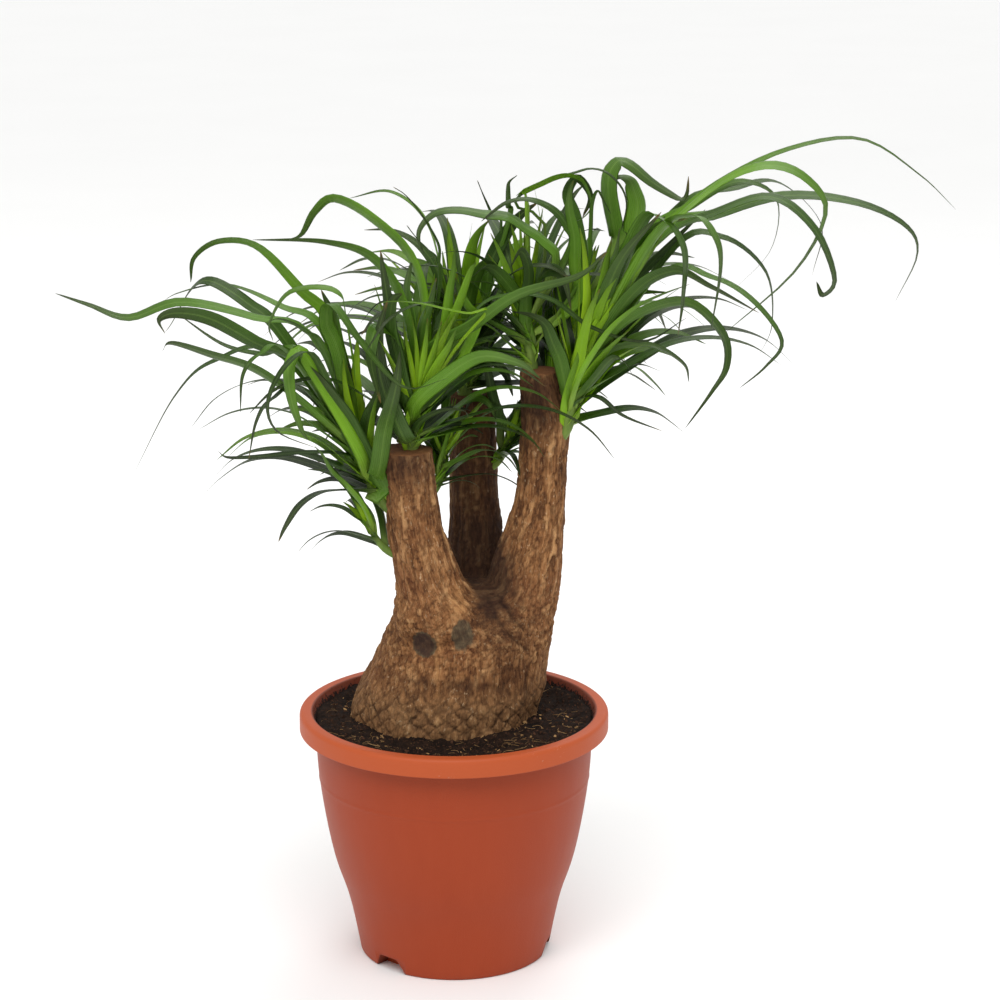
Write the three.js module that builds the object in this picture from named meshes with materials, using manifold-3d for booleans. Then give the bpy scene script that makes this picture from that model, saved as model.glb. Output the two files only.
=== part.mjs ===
// Potted ponytail palm: a swollen bottle-shaped base that divides into three sawn-off stems, each with
// tufts of long, arching strap leaves, standing in peat soil in a tapering plastic flower pot.
// Millimetres. The origin is the middle of the pot's underside; X points right, Y back and Z up.

import * as THREE from "three";
import { mergeVertices } from "three/addons/utils/BufferGeometryUtils.js";
import Module from "manifold-3d";

const wasm = await Module();
wasm.setup();

// ---------------------------------------------------------------- driving dimensions

const GAP = 0.35;                       // room kept between pieces that touch
const FACETS = 36;                      // straight sides in one turn of the pot

const pot = {
  wall: 2.5,
  // radius and height of the wall: outside from the foot to the rim's hollow, and inside below the mouth
  outline: [[75, 2], [79.5, 25], [85, 50], [94, 75], [99.5, 100], [107, 150], [108.6, 182], [113.6, 195.4]],
  inside: [[72.5, 3], [82, 50], [97, 100], [104.5, 150], [106, 182]],
  footRound: 2,
  rimRadius: 121,
  rimHeight: 198,
  rimDepth: 15,                         // height of the skirt that hangs from the rim
  rimRound: 4,
  mouthRadius: 111,
  mouthRound: 1.2,
};

const notch = { count: 3, firstAngle: 228, width: 32, slope: 7, height: 12, depth: 13, hole: 3.5 };

const soil = { facets: 24, level: 189, edge: 107.2, lump: 1.3, dip: 3 };

// cross-sections of the grown body from the bottom up: [z, centre x, centre y, half width, half depth]
const swollenBase = [
  [150, -8, 20, 40, 34], [156, -8, 20, 58, 49], [168, -8.5, 20, 70, 59], [182, -8.5, 20, 74, 62],
  [193, -8, 20, 73.2, 62], [208, -3, 20, 73, 60], [223, 1.5, 20, 70, 57], [238, 6, 19, 67.5, 54],
  [254, 10.5, 17, 66, 50], [268, 14.5, 15, 63.5, 45], [281, 18, 14, 59, 39], [292, 21, 14, 47, 31],
  [299, 22, 14, 28, 19],
];
const leftStem = [
  [252, -3, 2, 44, 36], [270, -6, -1, 41, 34], [286, -10, -4, 35.5, 31], [301, -16.5, -6, 27.8, 26],
  [326, -23.5, -9, 23.8, 23], [350, -29.5, -11, 21.6, 20.5], [374, -31.8, -13, 20, 19.5],
  [398, -35, -15, 20.5, 20], [411, -36.5, -16, 21.5, 20.5],
];
const middleStem = [
  [252, 14, 36, 36, 34], [275, 16, 43, 30, 28], [300, 17, 49, 25, 24], [335, 17, 54, 21, 21],
  [365, 15.5, 56, 19, 19], [400, 14.5, 58, 18.3, 18], [424, 14, 58, 18, 17.5], [437, 13.5, 58, 17.5, 17],
];
const rightStem = [
  [252, 42, 18, 34, 35], [275, 48, 15, 32, 31], [300, 54.5, 12, 29, 27], [325, 59.5, 10.5, 26, 24],
  [345, 63.8, 10, 22.5, 22], [370, 67.5, 9, 19.8, 20], [400, 69.3, 9, 19, 19], [428, 71, 9, 19, 18.5],
  [448, 68.5, 9.5, 17.5, 17], [467, 66, 10, 15.5, 15.5],
];
const bark = { facets: 36, stemFacets: 14, flute: 0.018, plates: 9, plate: 0.9, plateTop: 238 };

// Leaves are listed as they look from in front: points (x, z) on the upright plane through the pot's axis,
// seen from this viewpoint, and slid along the line of sight to the depth where the leaf really is.
const viewpoint = new THREE.Vector3(36, -2231, 960.5);

const leaf = {
  keel: 1.3,                            // height of the keel under the blade
  thinKeel: 0.9,                        // the same where the blade is narrow
  fullKeel: 4,                          // half width from which the keel has its full height
  root: 0.6,                            // width at the root, as a share of the full width
  swell: 0.15,                          // share of the length where the blade reaches its full width
  taperFrom: 0.3,                       // share of the length where it begins to taper
  taper: 0.92,                          // share of the width that is lost by the end
  tip: 1.3,                             // least width
  room: 0.5,                            // room kept to other shoots and the trunk
  rooted: 0.3,                          // share of the length, from the root, where leaves may join
  twistLimit: 0.24,                     // most twist in one span, in radians
  turns: [0, 3, -3, 6, -6, 10, -10, 15, -15],
};

// How the leaves that fill a shoot vary. Angles are in degrees, lengths are shares of the shoot's length.
const habit = {
  apart: 0.618,                         // share of the spread between one leaf and the next
  turnPlay: 24,
  tiltPlay: 14,
  curlPlay: 9,
  innermost: 0.62,
  lengthPlay: [0.82, 1.12],
  widthPlay: [0.8, 1.1],
  roots: [0.9, 0.25],                   // share up the stem where the innermost and outermost are set
  seenRoots: [0.3, 0.85],               // the same for the leaves that are listed
  steps: 6,
};

// Each shoot: the middle line of its short stem, from inside the bark to its growing tip; the thickness of
// that stem; the usual width of its leaves; the leaves that show from in front, as
// [width seen, depths at root, middle and tip, points (x, z)]; and the leaves that fill it out all round.
const shoots = [
  {
    name: "shoot_left_top",
    stem: [[-33, -14, 399], [-31, -15, 416], [-29, -17, 434], [-27, -18, 452]],
    radius: 8.5,
    width: 11,
    seen: [
      [7, [-20, -12, -5],
        [[-22, 500], [-30, 553], [-60, 585], [-88, 600], [-103, 590], [-113, 573], [-123, 569]]],
      [7, [-28, -35, -40], [[-35, 510], [-58, 553], [-95, 567], [-150, 569]]],
      [11, [-35, -75, -95], [[-30, 440], [-10, 460], [20, 479], [50, 474], [67, 462]]],
      [9, [-30, -55, -50], [[-20, 480], [15, 503], [50, 527], [95, 541], [117, 560]]],
      [4, [-26, -30, -35], [[15, 510], [45, 527], [75, 523], [105, 502], [145, 491], [177, 509]]],
      [3, [-30, -52, -62], [[-25, 428], [-8, 437], [8, 437], [12, 431]]],
      [12, [-32, -62, -72], [[-42, 488], [-58, 500], [-62, 476], [-55, 443]]],
      [7, [-24, -26, -24], [[-24, 495], [-17, 520], [-12, 540]]],
      [8, [-24, -20, -15], [[-31, 500], [-35, 530], [-30, 556]]],
      [7, [-26, -40, -48], [[-14, 485], [2, 512], [14, 545], [18, 552]]],
      [9, [-30, -48, -60], [[-40, 470], [-47, 500], [-45, 522], [-38, 528]]],
    ],
    fill: { count: 11, length: 200, facing: 80, spread: 250, lean: [18, 72], sag: 0.3 },
  },
  {
    name: "shoot_left_side",
    stem: [[-42, -12, 359], [-56, -13, 372], [-65, -15, 392], [-71, -17, 414]],
    radius: 8,
    width: 11,
    seen: [
      [7, [-28, -40, -50],
        [[-105, 490], [-150, 509], [-205, 521], [-245, 509], [-275, 519], [-300, 528]]],
      [11, [-40, -66, -84],
        [[-115, 470], [-150, 490], [-182, 508], [-208, 513], [-222, 508], [-218, 497]]],
      [4, [-12, 6, 12], [[-110, 478], [-145, 481], [-175, 489], [-209, 513]]],
      [6, [-48, -84, -98], [[-118, 445], [-148, 468], [-180, 479], [-210, 488], [-217, 482]]],
      [3, [-4, 8, 18], [[-130, 481], [-180, 477], [-210, 450], [-242, 391]]],
      [5, [-8, 14, 28], [[-88, 500], [-112, 533], [-142, 567], [-170, 572], [-188, 560], [-190, 541]]],
      [6, [4, 26, 40], [[-130, 495], [-155, 520], [-182, 537], [-197, 531], [-212, 506], [-218, 498]]],
      [2.5, [12, 44, 64], [[-92, 497], [-122, 520], [-160, 538], [-195, 533], [-210, 523]]],
      [3, [-34, -54, -60], [[-97, 482], [-112, 499], [-130, 508], [-143, 505]]],
      [9, [-14, -4, 4], [[-86, 490], [-89, 512], [-96, 532]]],
      [4, [-30, -62, -72], [[-75, 500], [-80, 529], [-112, 527], [-128, 502], [-124, 487]]],
      [10, [-52, -78, -86], [[-110, 476], [-122, 468], [-118, 440], [-110, 411]]],
      [12, [-30, -84, -92],
        [[-88, 436], [-100, 457], [-118, 484], [-140, 474], [-154, 447], [-148, 424], [-118, 409]]],
      [2.5, [-56, -104, -112], [[-118, 478], [-135, 478], [-145, 462], [-147, 432]]],
      [2.5, [-40, -72, -80], [[-112, 452], [-140, 447], [-153, 430], [-160, 400]]],
      [4, [-22, -36, -44], [[-82, 402], [-115, 404], [-145, 401], [-172, 400], [-180, 405]]],
      [6, [-20, -34, -30], [[-76, 500], [-72, 525], [-74, 556], [-86, 556], [-113, 533], [-127, 529]]],
      [6, [-36, -66, -88], [[-84, 480], [-92, 504], [-86, 519], [-62, 488], [-30, 456], [5, 464]]],
    ],
    fill: { count: 9, length: 190, facing: 130, spread: 220, lean: [20, 75], sag: 0.3 },
  },
  {
    name: "shoot_left_low",
    stem: [[-36, -10, 322], [-51, -12, 330], [-60, -13, 341], [-66, -14, 354]],
    radius: 5,
    width: 7.5,
    seen: [
      [6, [-20, -30, -42], [[-72, 388], [-88, 398], [-108, 394], [-124, 373], [-125, 346]]],
      [5, [-12, 0, 5], [[-78, 374], [-95, 388], [-112, 391]]],
      [5, [-18, -8, 4], [[-80, 384], [-100, 406], [-120, 424]]],
      [3, [-28, -46, -54], [[-84, 392], [-108, 410], [-122, 403], [-131, 384]]],
    ],
    fill: { count: 4, length: 90, facing: 150, spread: 200, lean: [25, 75], sag: 0.3 },
  },
  {
    name: "shoot_left_back",
    stem: [[-22, -6, 366], [-11, 2, 380], [-7, 8, 396], [-5, 12, 412]],
    radius: 5,
    width: 8,
    seen: [
      [6, [10, -6, -14], [[2, 432], [14, 446], [26, 444], [33, 430]]],
      [5, [12, 8, 2], [[-2, 440], [-6, 458], [-14, 466]]],
    ],
    fill: { count: 7, length: 110, facing: 60, spread: 260, lean: [20, 80], sag: 0.3 },
  },
  {
    name: "shoot_middle_top",
    stem: [[9, 57, 425], [8, 56, 443], [6, 54, 461], [4, 52, 480]],
    radius: 8.5,
    width: 11,
    seen: [
      [3, [44, 34, 24], [[-8, 545], [-20, 585], [-45, 605], [-75, 600]]],
      [8, [46, 48, 50], [[3, 545], [4, 590], [11, 602], [18, 583]]],
      [9, [46, 50, 54], [[2, 530], [8, 552], [20, 572]]],
      [11, [44, 38, 30], [[14, 512], [26, 545], [38, 570], [52, 562], [60, 545]]],
      [10, [40, 22, 14], [[10, 505], [16, 535], [26, 552], [38, 546]]],
      [9, [46, 30, 18], [[-8, 520], [-18, 545], [-32, 556], [-46, 548]]],
    ],
    fill: { count: 18, length: 220, facing: 100, spread: 300, lean: [14, 74], sag: 0.28 },
  },
  {
    name: "shoot_middle_side",
    stem: [[22, 53, 374], [34, 48, 384], [41, 46, 396], [45, 45, 410]],
    radius: 4.5,
    width: 7.5,
    seen: [
      [5, [40, 34, 28], [[58, 440], [66, 452], [72, 446]]],
    ],
    fill: { count: 6, length: 85, facing: 60, spread: 320, lean: [20, 75], sag: 0.3 },
  },
  {
    name: "shoot_right_front",
    stem: [[77, 5, 410], [87, -1, 426], [91, -3, 446], [96, -5, 466]],
    radius: 8.5,
    width: 12,
    seen: [
      [4, [6, 22, 30],
        [[130, 555], [160, 580], [200, 612], [250, 637], [305, 645], [350, 618], [378, 592]]],
      [7, [-18, -36, -42],
        [[135, 548], [170, 585], [205, 614], [238, 625], [265, 615], [280, 590], [258, 545], [206, 497]]],
      [4, [18, 34, 40], [[140, 562], [180, 595], [215, 613], [243, 600], [240, 562], [212, 530]]],
      [6, [-6, -48, -62],
        [[150, 560], [200, 590], [240, 601], [272, 577], [288, 540], [280, 527], [275, 537]]],
      [2.5, [28, 48, 55], [[170, 582], [225, 605], [260, 607], [293, 575], [288, 536]]],
      [6, [2, -8, -14],
        [[150, 565], [200, 588], [250, 602], [303, 597], [340, 580], [350, 558], [335, 522]]],
      [7, [-30, -56, -62], [[130, 520], [165, 545], [195, 533], [232, 513]]],
      [4, [-14, -66, -76], [[155, 540], [195, 539], [225, 521], [247, 490], [235, 470], [215, 453]]],
      [7, [-26, -62, -74],
        [[116, 492], [140, 512], [172, 518], [197, 493], [200, 468], [188, 448], [167, 420]]],
      [5, [-12, -24, -30], [[106, 468], [120, 484], [150, 488], [175, 474], [180, 459]]],
      [4, [-8, -18, -26], [[98, 446], [112, 447], [130, 433], [160, 421]]],
      [2.5, [4, 12, 18], [[112, 466], [140, 473], [158, 468]]],
      [4, [-22, -40, -46], [[108, 462], [122, 478], [132, 473], [138, 462]]],
      [5, [-38, -66, -72], [[138, 572], [158, 584], [174, 562], [174, 525], [171, 496]]],
      [5, [-44, -76, -84], [[150, 566], [180, 587], [197, 572], [202, 548], [196, 500]]],
      [3, [16, 26, 30], [[165, 560], [203, 571], [236, 545], [242, 505], [233, 480]]],
      [12, [-14, -18, -10], [[94, 490], [84, 525], [66, 558], [42, 583], [26, 574]]],
      [9, [12, 28, 34], [[98, 500], [97, 550], [92, 585], [86, 604], [94, 616], [104, 602], [98, 586]]],
      [8, [-16, -40, -50], [[112, 530], [122, 555], [126, 578]]],
      [9, [-4, -22, -30], [[124, 535], [150, 570], [160, 587]]],
      [9, [10, 14, 12], [[122, 515], [145, 545], [190, 592]]],
      [11, [-26, -50, -60], [[112, 515], [128, 555], [157, 590]]],
    ],
    fill: { count: 10, length: 240, facing: 40, spread: 200, lean: [20, 70], sag: 0.3 },
  },
  {
    name: "shoot_right_back",
    stem: [[71, 15, 436], [76, 28, 450], [83, 34, 469], [89, 38, 489]],
    radius: 8,
    width: 11,
    seen: [
      [7, [45, 40, 36], [[118, 572], [117, 612], [126, 628], [150, 610], [172, 600], [177, 617]]],
      [9, [44, 36, 28], [[138, 575], [140, 597], [128, 620]]],
      [3, [48, 50, 44], [[92, 580], [70, 600], [50, 604]]],
      [4, [44, 28, 16], [[98, 578], [86, 600], [98, 601], [105, 588]]],
    ],
    fill: { count: 14, length: 220, facing: 75, spread: 230, lean: [16, 74], sag: 0.28 },
  },
  {
    name: "shoot_right_top",
    stem: [[61, 14, 455], [59, 18, 473], [57, 20, 490], [55, 21, 508]],
    radius: 8.5,
    width: 11,
    seen: [
      [7, [18, 2, -6], [[52, 530], [44, 570], [54, 596], [72, 602], [84, 594], [91, 574]]],
      [4, [22, 20, 20], [[48, 530], [43, 575], [41, 600], [48, 617]]],
      [3, [24, 26, 28], [[44, 530], [34, 570], [24, 597], [16, 616]]],
      [5, [20, 8, 0], [[50, 528], [36, 570], [10, 592], [-12, 588], [-25, 573], [-22, 550]]],
      [2.5, [10, -8, -14], [[40, 512], [10, 515], [-20, 518], [-52, 522], [-70, 505]]],
      [10, [14, -8, -22], [[50, 520], [38, 540], [26, 548], [14, 540]]],
      [10, [14, -14, -30], [[60, 525], [72, 545], [84, 540], [90, 515]]],
      [8, [8, -20, -30], [[56, 520], [58, 545], [52, 560], [44, 548]]],
      [6, [26, 36, 42], [[62, 530], [76, 570], [90, 600], [100, 612]]],
    ],
    fill: { count: 12, length: 190, facing: 110, spread: 260, lean: [16, 74], sag: 0.28 },
  },
];

const finishes = {
  pot: { color: 0xc45c36, roughness: 0.5, metalness: 0 },
  soil: { color: 0x2c1d15, roughness: 0.95, metalness: 0 },
  bark: { color: 0x8b6242, roughness: 0.85, metalness: 0 },
  leaf: { color: 0x3f8f2c, roughness: 0.4, metalness: 0 },
};

// ---------------------------------------------------------------- shapes in general

const radians = THREE.MathUtils.degToRad;
const mix = THREE.MathUtils.lerp;

// A closed three.js geometry as a solid that can be joined and cut.
function asSolid(geometry) {
  const bare = geometry.clone();
  bare.deleteAttribute("normal");
  bare.deleteAttribute("uv");
  const merged = mergeVertices(bare, 1e-3);
  return new wasm.Manifold(new wasm.Mesh({
    numProp: 3,
    vertProperties: new Float32Array(merged.attributes.position.array),
    triVerts: new Uint32Array(merged.index.array),
  }));
}

// The largest body of a solid, without sealed hollows or loose scraps, as a geometry.
function asGeometry(solid) {
  const [body] = solid.decompose().sort((a, b) => b.volume() - a.volume());
  const { vertProperties, triVerts } = body.getMesh();
  const geometry = new THREE.BufferGeometry();
  geometry.setAttribute("position", new THREE.BufferAttribute(vertProperties, 3));
  geometry.setIndex(new THREE.BufferAttribute(triVerts, 1));
  return geometry;
}

// A skin over rings of points that follow each other, closed at both ends. Each four-cornered patch is
// split from its first corner, or from its second on the sides of the ring that `turnedSides` lists.
function loft(rings, turnedSides = []) {
  const around = rings[0].length;
  const positions = rings.flat().flatMap((point) => point.toArray());
  const faces = [];
  for (let row = 0; row < rings.length - 1; row += 1) {
    for (let i = 0; i < around; i += 1) {
      const a = row * around + i;
      const b = row * around + (i + 1) % around;
      if (turnedSides.includes(i)) {
        faces.push(a, b, a + around, b, b + around, a + around);
      } else {
        faces.push(a, b, b + around, a, b + around, a + around);
      }
    }
  }
  const last = (rings.length - 1) * around;
  for (let i = 1; i < around - 1; i += 1) {
    faces.push(0, i + 1, i);
    faces.push(last, last + i, last + i + 1);
  }
  const geometry = new THREE.BufferGeometry();
  geometry.setAttribute("position", new THREE.Float32BufferAttribute(positions, 3));
  geometry.setIndex(faces);
  return geometry;
}

// A smooth run of number lists through the listed ones, with `steps` to each span.
function smoothRun(list, steps) {
  const at = (i) => list[Math.min(Math.max(i, 0), list.length - 1)];
  const run = [];
  for (let span = 0; span < list.length - 1; span += 1) {
    for (let k = 0; k < steps; k += 1) {
      const t = k / steps;
      run.push(at(span).map((_, n) => {
        const [p, q, r, s] = [at(span - 1)[n], at(span)[n], at(span + 1)[n], at(span + 2)[n]];
        return q + 0.5 * t * (r - p + t * (2 * p - 5 * q + 4 * r - s + t * (3 * (q - r) + s - p)));
      }));
    }
  }
  run.push(at(list.length - 1));
  return run;
}

// A body of revolution about Z from (radius, height) points.
function turned(points, facets) {
  const outline = points.map(([r, z]) => new THREE.Vector2(r, z));
  return new THREE.LatheGeometry(outline, facets).rotateX(Math.PI / 2);
}

// Numbers from 0 to 1 that are the same in every run.
function drawer(seed) {
  let state = seed >>> 0;
  return () => {
    state = (Math.imul(state, 1664525) + 1013904223) >>> 0;
    return state / 2 ** 32;
  };
}

// ---------------------------------------------------------------- pot

// The bar that fills one drain notch, grown by `extra` on its sides, top and inner end.
function notchBar(index, extra) {
  const half = notch.width / 2 + extra;
  const top = notch.height + extra;
  const outline = new THREE.Shape([
    new THREE.Vector2(-half, -extra - 1),
    new THREE.Vector2(half, -extra - 1),
    new THREE.Vector2(half - notch.slope, top),
    new THREE.Vector2(-half, top),
  ]);
  const inner = pot.outline[0][0] - notch.depth - extra;
  const depth = pot.rimRadius - inner;
  const bar = new THREE.ExtrudeGeometry(outline, { depth, bevelEnabled: false, steps: 1 });
  bar.rotateX(Math.PI / 2).rotateZ(Math.PI).translate(0, inner, 0);
  bar.rotateZ(radians(notch.firstAngle - 90 + index * 360 / notch.count));
  return asSolid(bar);
}

function drainHole(index) {
  const hole = new THREE.CylinderGeometry(notch.hole, notch.hole, notch.depth, 10);
  hole.translate(0, pot.outline[0][0] - notch.depth, notch.height / 2);
  hole.rotateZ(radians(notch.firstAngle - 90 + index * 360 / notch.count));
  return asSolid(hole);
}

function makePot() {
  const { wall, outline, inside, rimRadius: rim, rimHeight: top, rimRound } = pot;
  const { mouthRadius: mouth, mouthRound } = pot;
  const foot = outline[0][0];
  const neck = outline.at(-1)[1];
  const skirt = top - pot.rimDepth;
  const corner = rimRound * (1 - Math.SQRT1_2);
  let body = asSolid(turned([
    [0, 0], [foot - pot.footRound, 0], ...outline,
    [rim - wall, neck], [rim - wall, skirt], [rim, skirt],
    [rim, top - rimRound], [rim - corner, top - corner], [rim - rimRound, top],
    [mouth + mouthRound, top], [mouth, top - mouthRound],
    ...[...inside].reverse(), [0, inside[0][1]],
  ], FACETS));
  const core = asSolid(turned([
    [0, wall / 2], [foot - wall / 2, wall / 2],
    [outline[2][0] - wall / 2, outline[2][1]], [0, outline[2][1]],
  ], FACETS));
  for (let i = 0; i < notch.count; i += 1) {
    body = body.add(notchBar(i, wall).intersect(core));
    body = body.subtract(notchBar(i, 0)).subtract(drainHole(i));
  }
  return asGeometry(body);
}

// ---------------------------------------------------------------- trunk

// The bark's relief as a part of the radius: five broad flutes and nine weak ones that wind slowly upwards,
// and corky plates low on the swollen base.
function barkRelief(angle, z, radius) {
  const flutes = bark.flute * (Math.sin(5 * angle + z / 31) + 0.6 * Math.sin(9 * angle - z / 19));
  const low = THREE.MathUtils.smoothstep(bark.plateTop - z, 0, 25);
  const plates = Math.cos(bark.plates * angle + z / 4) * Math.cos(bark.plates * angle - z / 4);
  return 1 + flutes + low * bark.plate * plates / radius;
}

function grown(sections, steps, facets, extra) {
  const run = smoothRun(sections, steps);
  const rings = run.map(([z, x, y, halfWidth, halfDepth], row) => {
    const height = z + (row === 0 ? -extra : 0) + (row === run.length - 1 ? extra : 0);
    return Array.from({ length: facets }, (_, i) => {
      const angle = i / facets * 2 * Math.PI;
      const relief = barkRelief(angle, z, (halfWidth + halfDepth) / 2);
      return new THREE.Vector3(
        x + (halfWidth * relief + extra) * Math.cos(angle),
        y + (halfDepth * relief + extra) * Math.sin(angle),
        height,
      );
    });
  });
  return asSolid(loft(rings));
}

function trunkBody(extra) {
  return grown(swollenBase, 2, bark.facets, extra)
    .add(grown(leftStem, 1, bark.stemFacets, extra))
    .add(grown(middleStem, 1, bark.stemFacets, extra))
    .add(grown(rightStem, 1, bark.stemFacets, extra));
}

// ---------------------------------------------------------------- soil

function makeSoil() {
  const { level, lump, dip } = soil;
  const [bottom, ...sides] = pot.inside;
  const bed = turned([
    [0, bottom[1] + GAP], [bottom[0] - GAP, bottom[1] + GAP],
    ...sides.map(([r, z]) => [r - 2 * GAP, z]),
    [soil.edge, level], [96, level], [86, level], [74, level], [50, level], [0, level],
  ], soil.facets);
  const position = bed.attributes.position;
  for (let i = 0; i < position.count; i += 1) {
    const [x, y, z] = [position.getX(i), position.getY(i), position.getZ(i)];
    if (z > level - 1 && Math.hypot(x, y) < 100) {
      const waves = Math.sin(x / 9 + y / 14) + Math.sin(y / 8 - x / 17);
      const hollow = Math.exp(-((x + 5) ** 2 + (y + 55) ** 2) / 1600);
      position.setZ(i, z + lump * waves / 2 - dip * hollow);
    }
  }
  let body = asSolid(bed).subtract(trunkBody(GAP));
  for (let i = 0; i < notch.count; i += 1) {
    body = body.subtract(notchBar(i, pot.wall + GAP));
  }
  return asGeometry(body);
}

// ---------------------------------------------------------------- shoots

function runThrough(points) {
  return new THREE.CatmullRomCurve3(points, false, "catmullrom", 0.5);
}

// The growing stem of a shoot, thickest where the leaves are set, as a curve and a solid.
function stemCurve(shoot) {
  return runThrough(shoot.stem.map((p) => new THREE.Vector3(...p)));
}

function stemBody(shoot, extra) {
  const curve = stemCurve(shoot);
  const rows = 6;
  const rings = [];
  for (let row = 0; row <= rows; row += 1) {
    const t = row / rows;
    const along = curve.getTangent(t);
    const side = new THREE.Vector3().crossVectors(new THREE.Vector3(0, 1, 0), along).normalize();
    const other = new THREE.Vector3().crossVectors(along, side);
    const radius = shoot.radius * mix(0.75, 1.2, Math.sin(Math.PI * Math.min(t, 0.96) * 0.75)) + extra;
    const middle = curve.getPoint(t).addScaledVector(along, row === 0 ? -extra : 0);
    rings.push(Array.from({ length: 8 }, (_, i) => {
      const angle = i / 8 * 2 * Math.PI;
      return middle.clone()
        .addScaledVector(side, radius * Math.cos(angle))
        .addScaledVector(other, radius * Math.sin(angle));
    }));
  }
  return asSolid(loft(rings));
}

function slidTo(depth, [x, z]) {
  const share = (depth - viewpoint.y) / -viewpoint.y;
  return new THREE.Vector3(mix(viewpoint.x, x, share), depth, mix(viewpoint.z, z, share));
}

// A leaf that shows from in front: from the stem through its listed points.
function seenPath(curve, share, [, depths, points]) {
  const path = points.map((point, i) => {
    const t = points.length > 1 ? 2 * i / (points.length - 1) : 0;
    return slidTo(t < 1 ? mix(depths[0], depths[1], t) : mix(depths[1], depths[2], t - 1), point);
  });
  return [curve.getPoint(share), ...path];
}

// A leaf that fills the shoot out: inner ones stand, outer ones lean away and hang over.
function fillPath(curve, shoot, index, random) {
  const { count, length, facing, spread, lean, sag } = shoot.fill;
  const share = (index + 0.5) / count;
  const place = ((index + 1) * habit.apart) % 1 - 0.5;
  const turn = radians(facing + spread * place + habit.turnPlay * (random() - 0.5));
  const tilt = radians(mix(lean[0], lean[1], share) + habit.tiltPlay * (random() - 0.5));
  const outwards = new THREE.Vector3(Math.cos(turn), Math.sin(turn), 0);
  const along = curve.getTangent(1).multiplyScalar(Math.cos(tilt));
  along.addScaledVector(outwards, Math.sin(tilt));
  const { steps, innermost, lengthPlay, roots } = habit;
  const stride = length * mix(innermost, 1, share) * mix(...lengthPlay, random()) / steps;
  const curl = radians(habit.curlPlay * (random() - 0.5));
  const point = curve.getPoint(mix(...roots, share));
  const path = [point.clone()];
  for (let k = 0; k < steps; k += 1) {
    along.normalize();
    point.addScaledVector(along, stride);
    path.push(point.clone());
    along.z -= sag * (0.35 + k / steps) * mix(0.6, 1.1, share);
    along.applyAxisAngle(new THREE.Vector3(0, 0, 1), curl * k / 2);
  }
  return path;
}

function turnedAbout(path, degrees) {
  const root = path[0];
  const up = new THREE.Vector3(0, 0, 1);
  return path.map((p) => p.clone().sub(root).applyAxisAngle(up, radians(degrees)).add(root));
}

// Width along a strap leaf: narrower at the root, nearly even, then a long fine tip.
function widthAt(t, width) {
  const { root, swell, taperFrom, taper, tip } = leaf;
  const swollen = mix(root, 1, Math.min(1, t / swell));
  const left = 1 - taper * Math.max(0, (t - taperFrom) / (1 - taperFrom)) ** 1.5;
  return Math.max(tip, width * swollen * left);
}

// Twist from root to middle that shows `seen` of the leaf's width from the viewpoint.
function twistFor(frame, width, seen) {
  const sight = frame.point.clone().sub(viewpoint);
  const across = sight.cross(frame.along).normalize();
  const broad = Math.atan2(frame.face.dot(across), frame.side.dot(across));
  const tilt = Math.acos(Math.min(1, seen / width));
  const [angle] = [broad + tilt, broad - tilt]
    .map((choice) => choice - Math.PI * Math.round(choice / Math.PI))
    .sort((a, b) => Math.abs(a) - Math.abs(b));
  return angle;
}

// Points along a curve, each with the direction halfway between those of the spans on either side of it.
function bends(curve, spans) {
  const points = Array.from({ length: spans + 1 }, (_, k) => curve.getPoint(k / spans));
  const chords = points.slice(1).map((point, k) => point.clone().sub(points[k]).normalize());
  return points.map((point, k) => {
    const along = (chords[k - 1] ?? chords[k]).clone().add(chords[k] ?? chords[k - 1]).normalize();
    return { point, along };
  });
}

// A strap leaf from `start` of its length on: flat on its upper face, with a low keel under its middle.
// The faces are split so that the twist lifts the upper one away from the keel.
function bladeBody({ path, upright, width, seen }, extra, start = 0) {
  const curve = runThrough(path);
  const spans = Math.max(5, Math.round(1.1 * (path.length - 1)));
  const first = path[1].clone().sub(path[0]);
  let side = new THREE.Vector3().crossVectors(upright, first).normalize();
  const frames = bends(curve, spans).map(({ point, along }) => {
    side = side.clone().addScaledVector(along, -side.dot(along)).normalize();
    const face = new THREE.Vector3().crossVectors(along, side);
    return { point, along, side, face };
  });
  const middle = Math.round(spans * 0.55);
  const wanted = seen ? twistFor(frames[middle], width, seen) : 0;
  const limit = leaf.twistLimit * middle;
  const twist = THREE.MathUtils.clamp(wanted, -limit, limit);
  const rings = frames.map(({ point, along, side: s, face }, k) => {
    const half = widthAt(k / spans, width) / 2 + extra;
    const keel = Math.max(leaf.thinKeel, leaf.keel * Math.min(1, half / leaf.fullKeel)) + extra;
    const angle = twist * Math.min(1, k / middle);
    const across = s.clone().applyAxisAngle(along, angle);
    const normal = face.clone().applyAxisAngle(along, angle);
    return [
      point.clone().addScaledVector(across, half).addScaledVector(normal, extra),
      point.clone().addScaledVector(across, -half).addScaledVector(normal, extra),
      point.clone().addScaledVector(normal, -keel),
    ];
  });
  return asSolid(loft(rings.slice(Math.round(start * spans)), twist > 0 ? [0] : [1, 2]));
}

function boxesMeet(a, b) {
  return [0, 1, 2].every((n) => a.min[n] <= b.max[n] && b.min[n] <= a.max[n]);
}

function crosses(solid, others) {
  const box = solid.boundingBox();
  return others.some((other) => boxesMeet(box, other.box) && !solid.intersect(other.solid).isEmpty());
}

function entry(solid) {
  return { solid, box: solid.boundingBox() };
}

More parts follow.
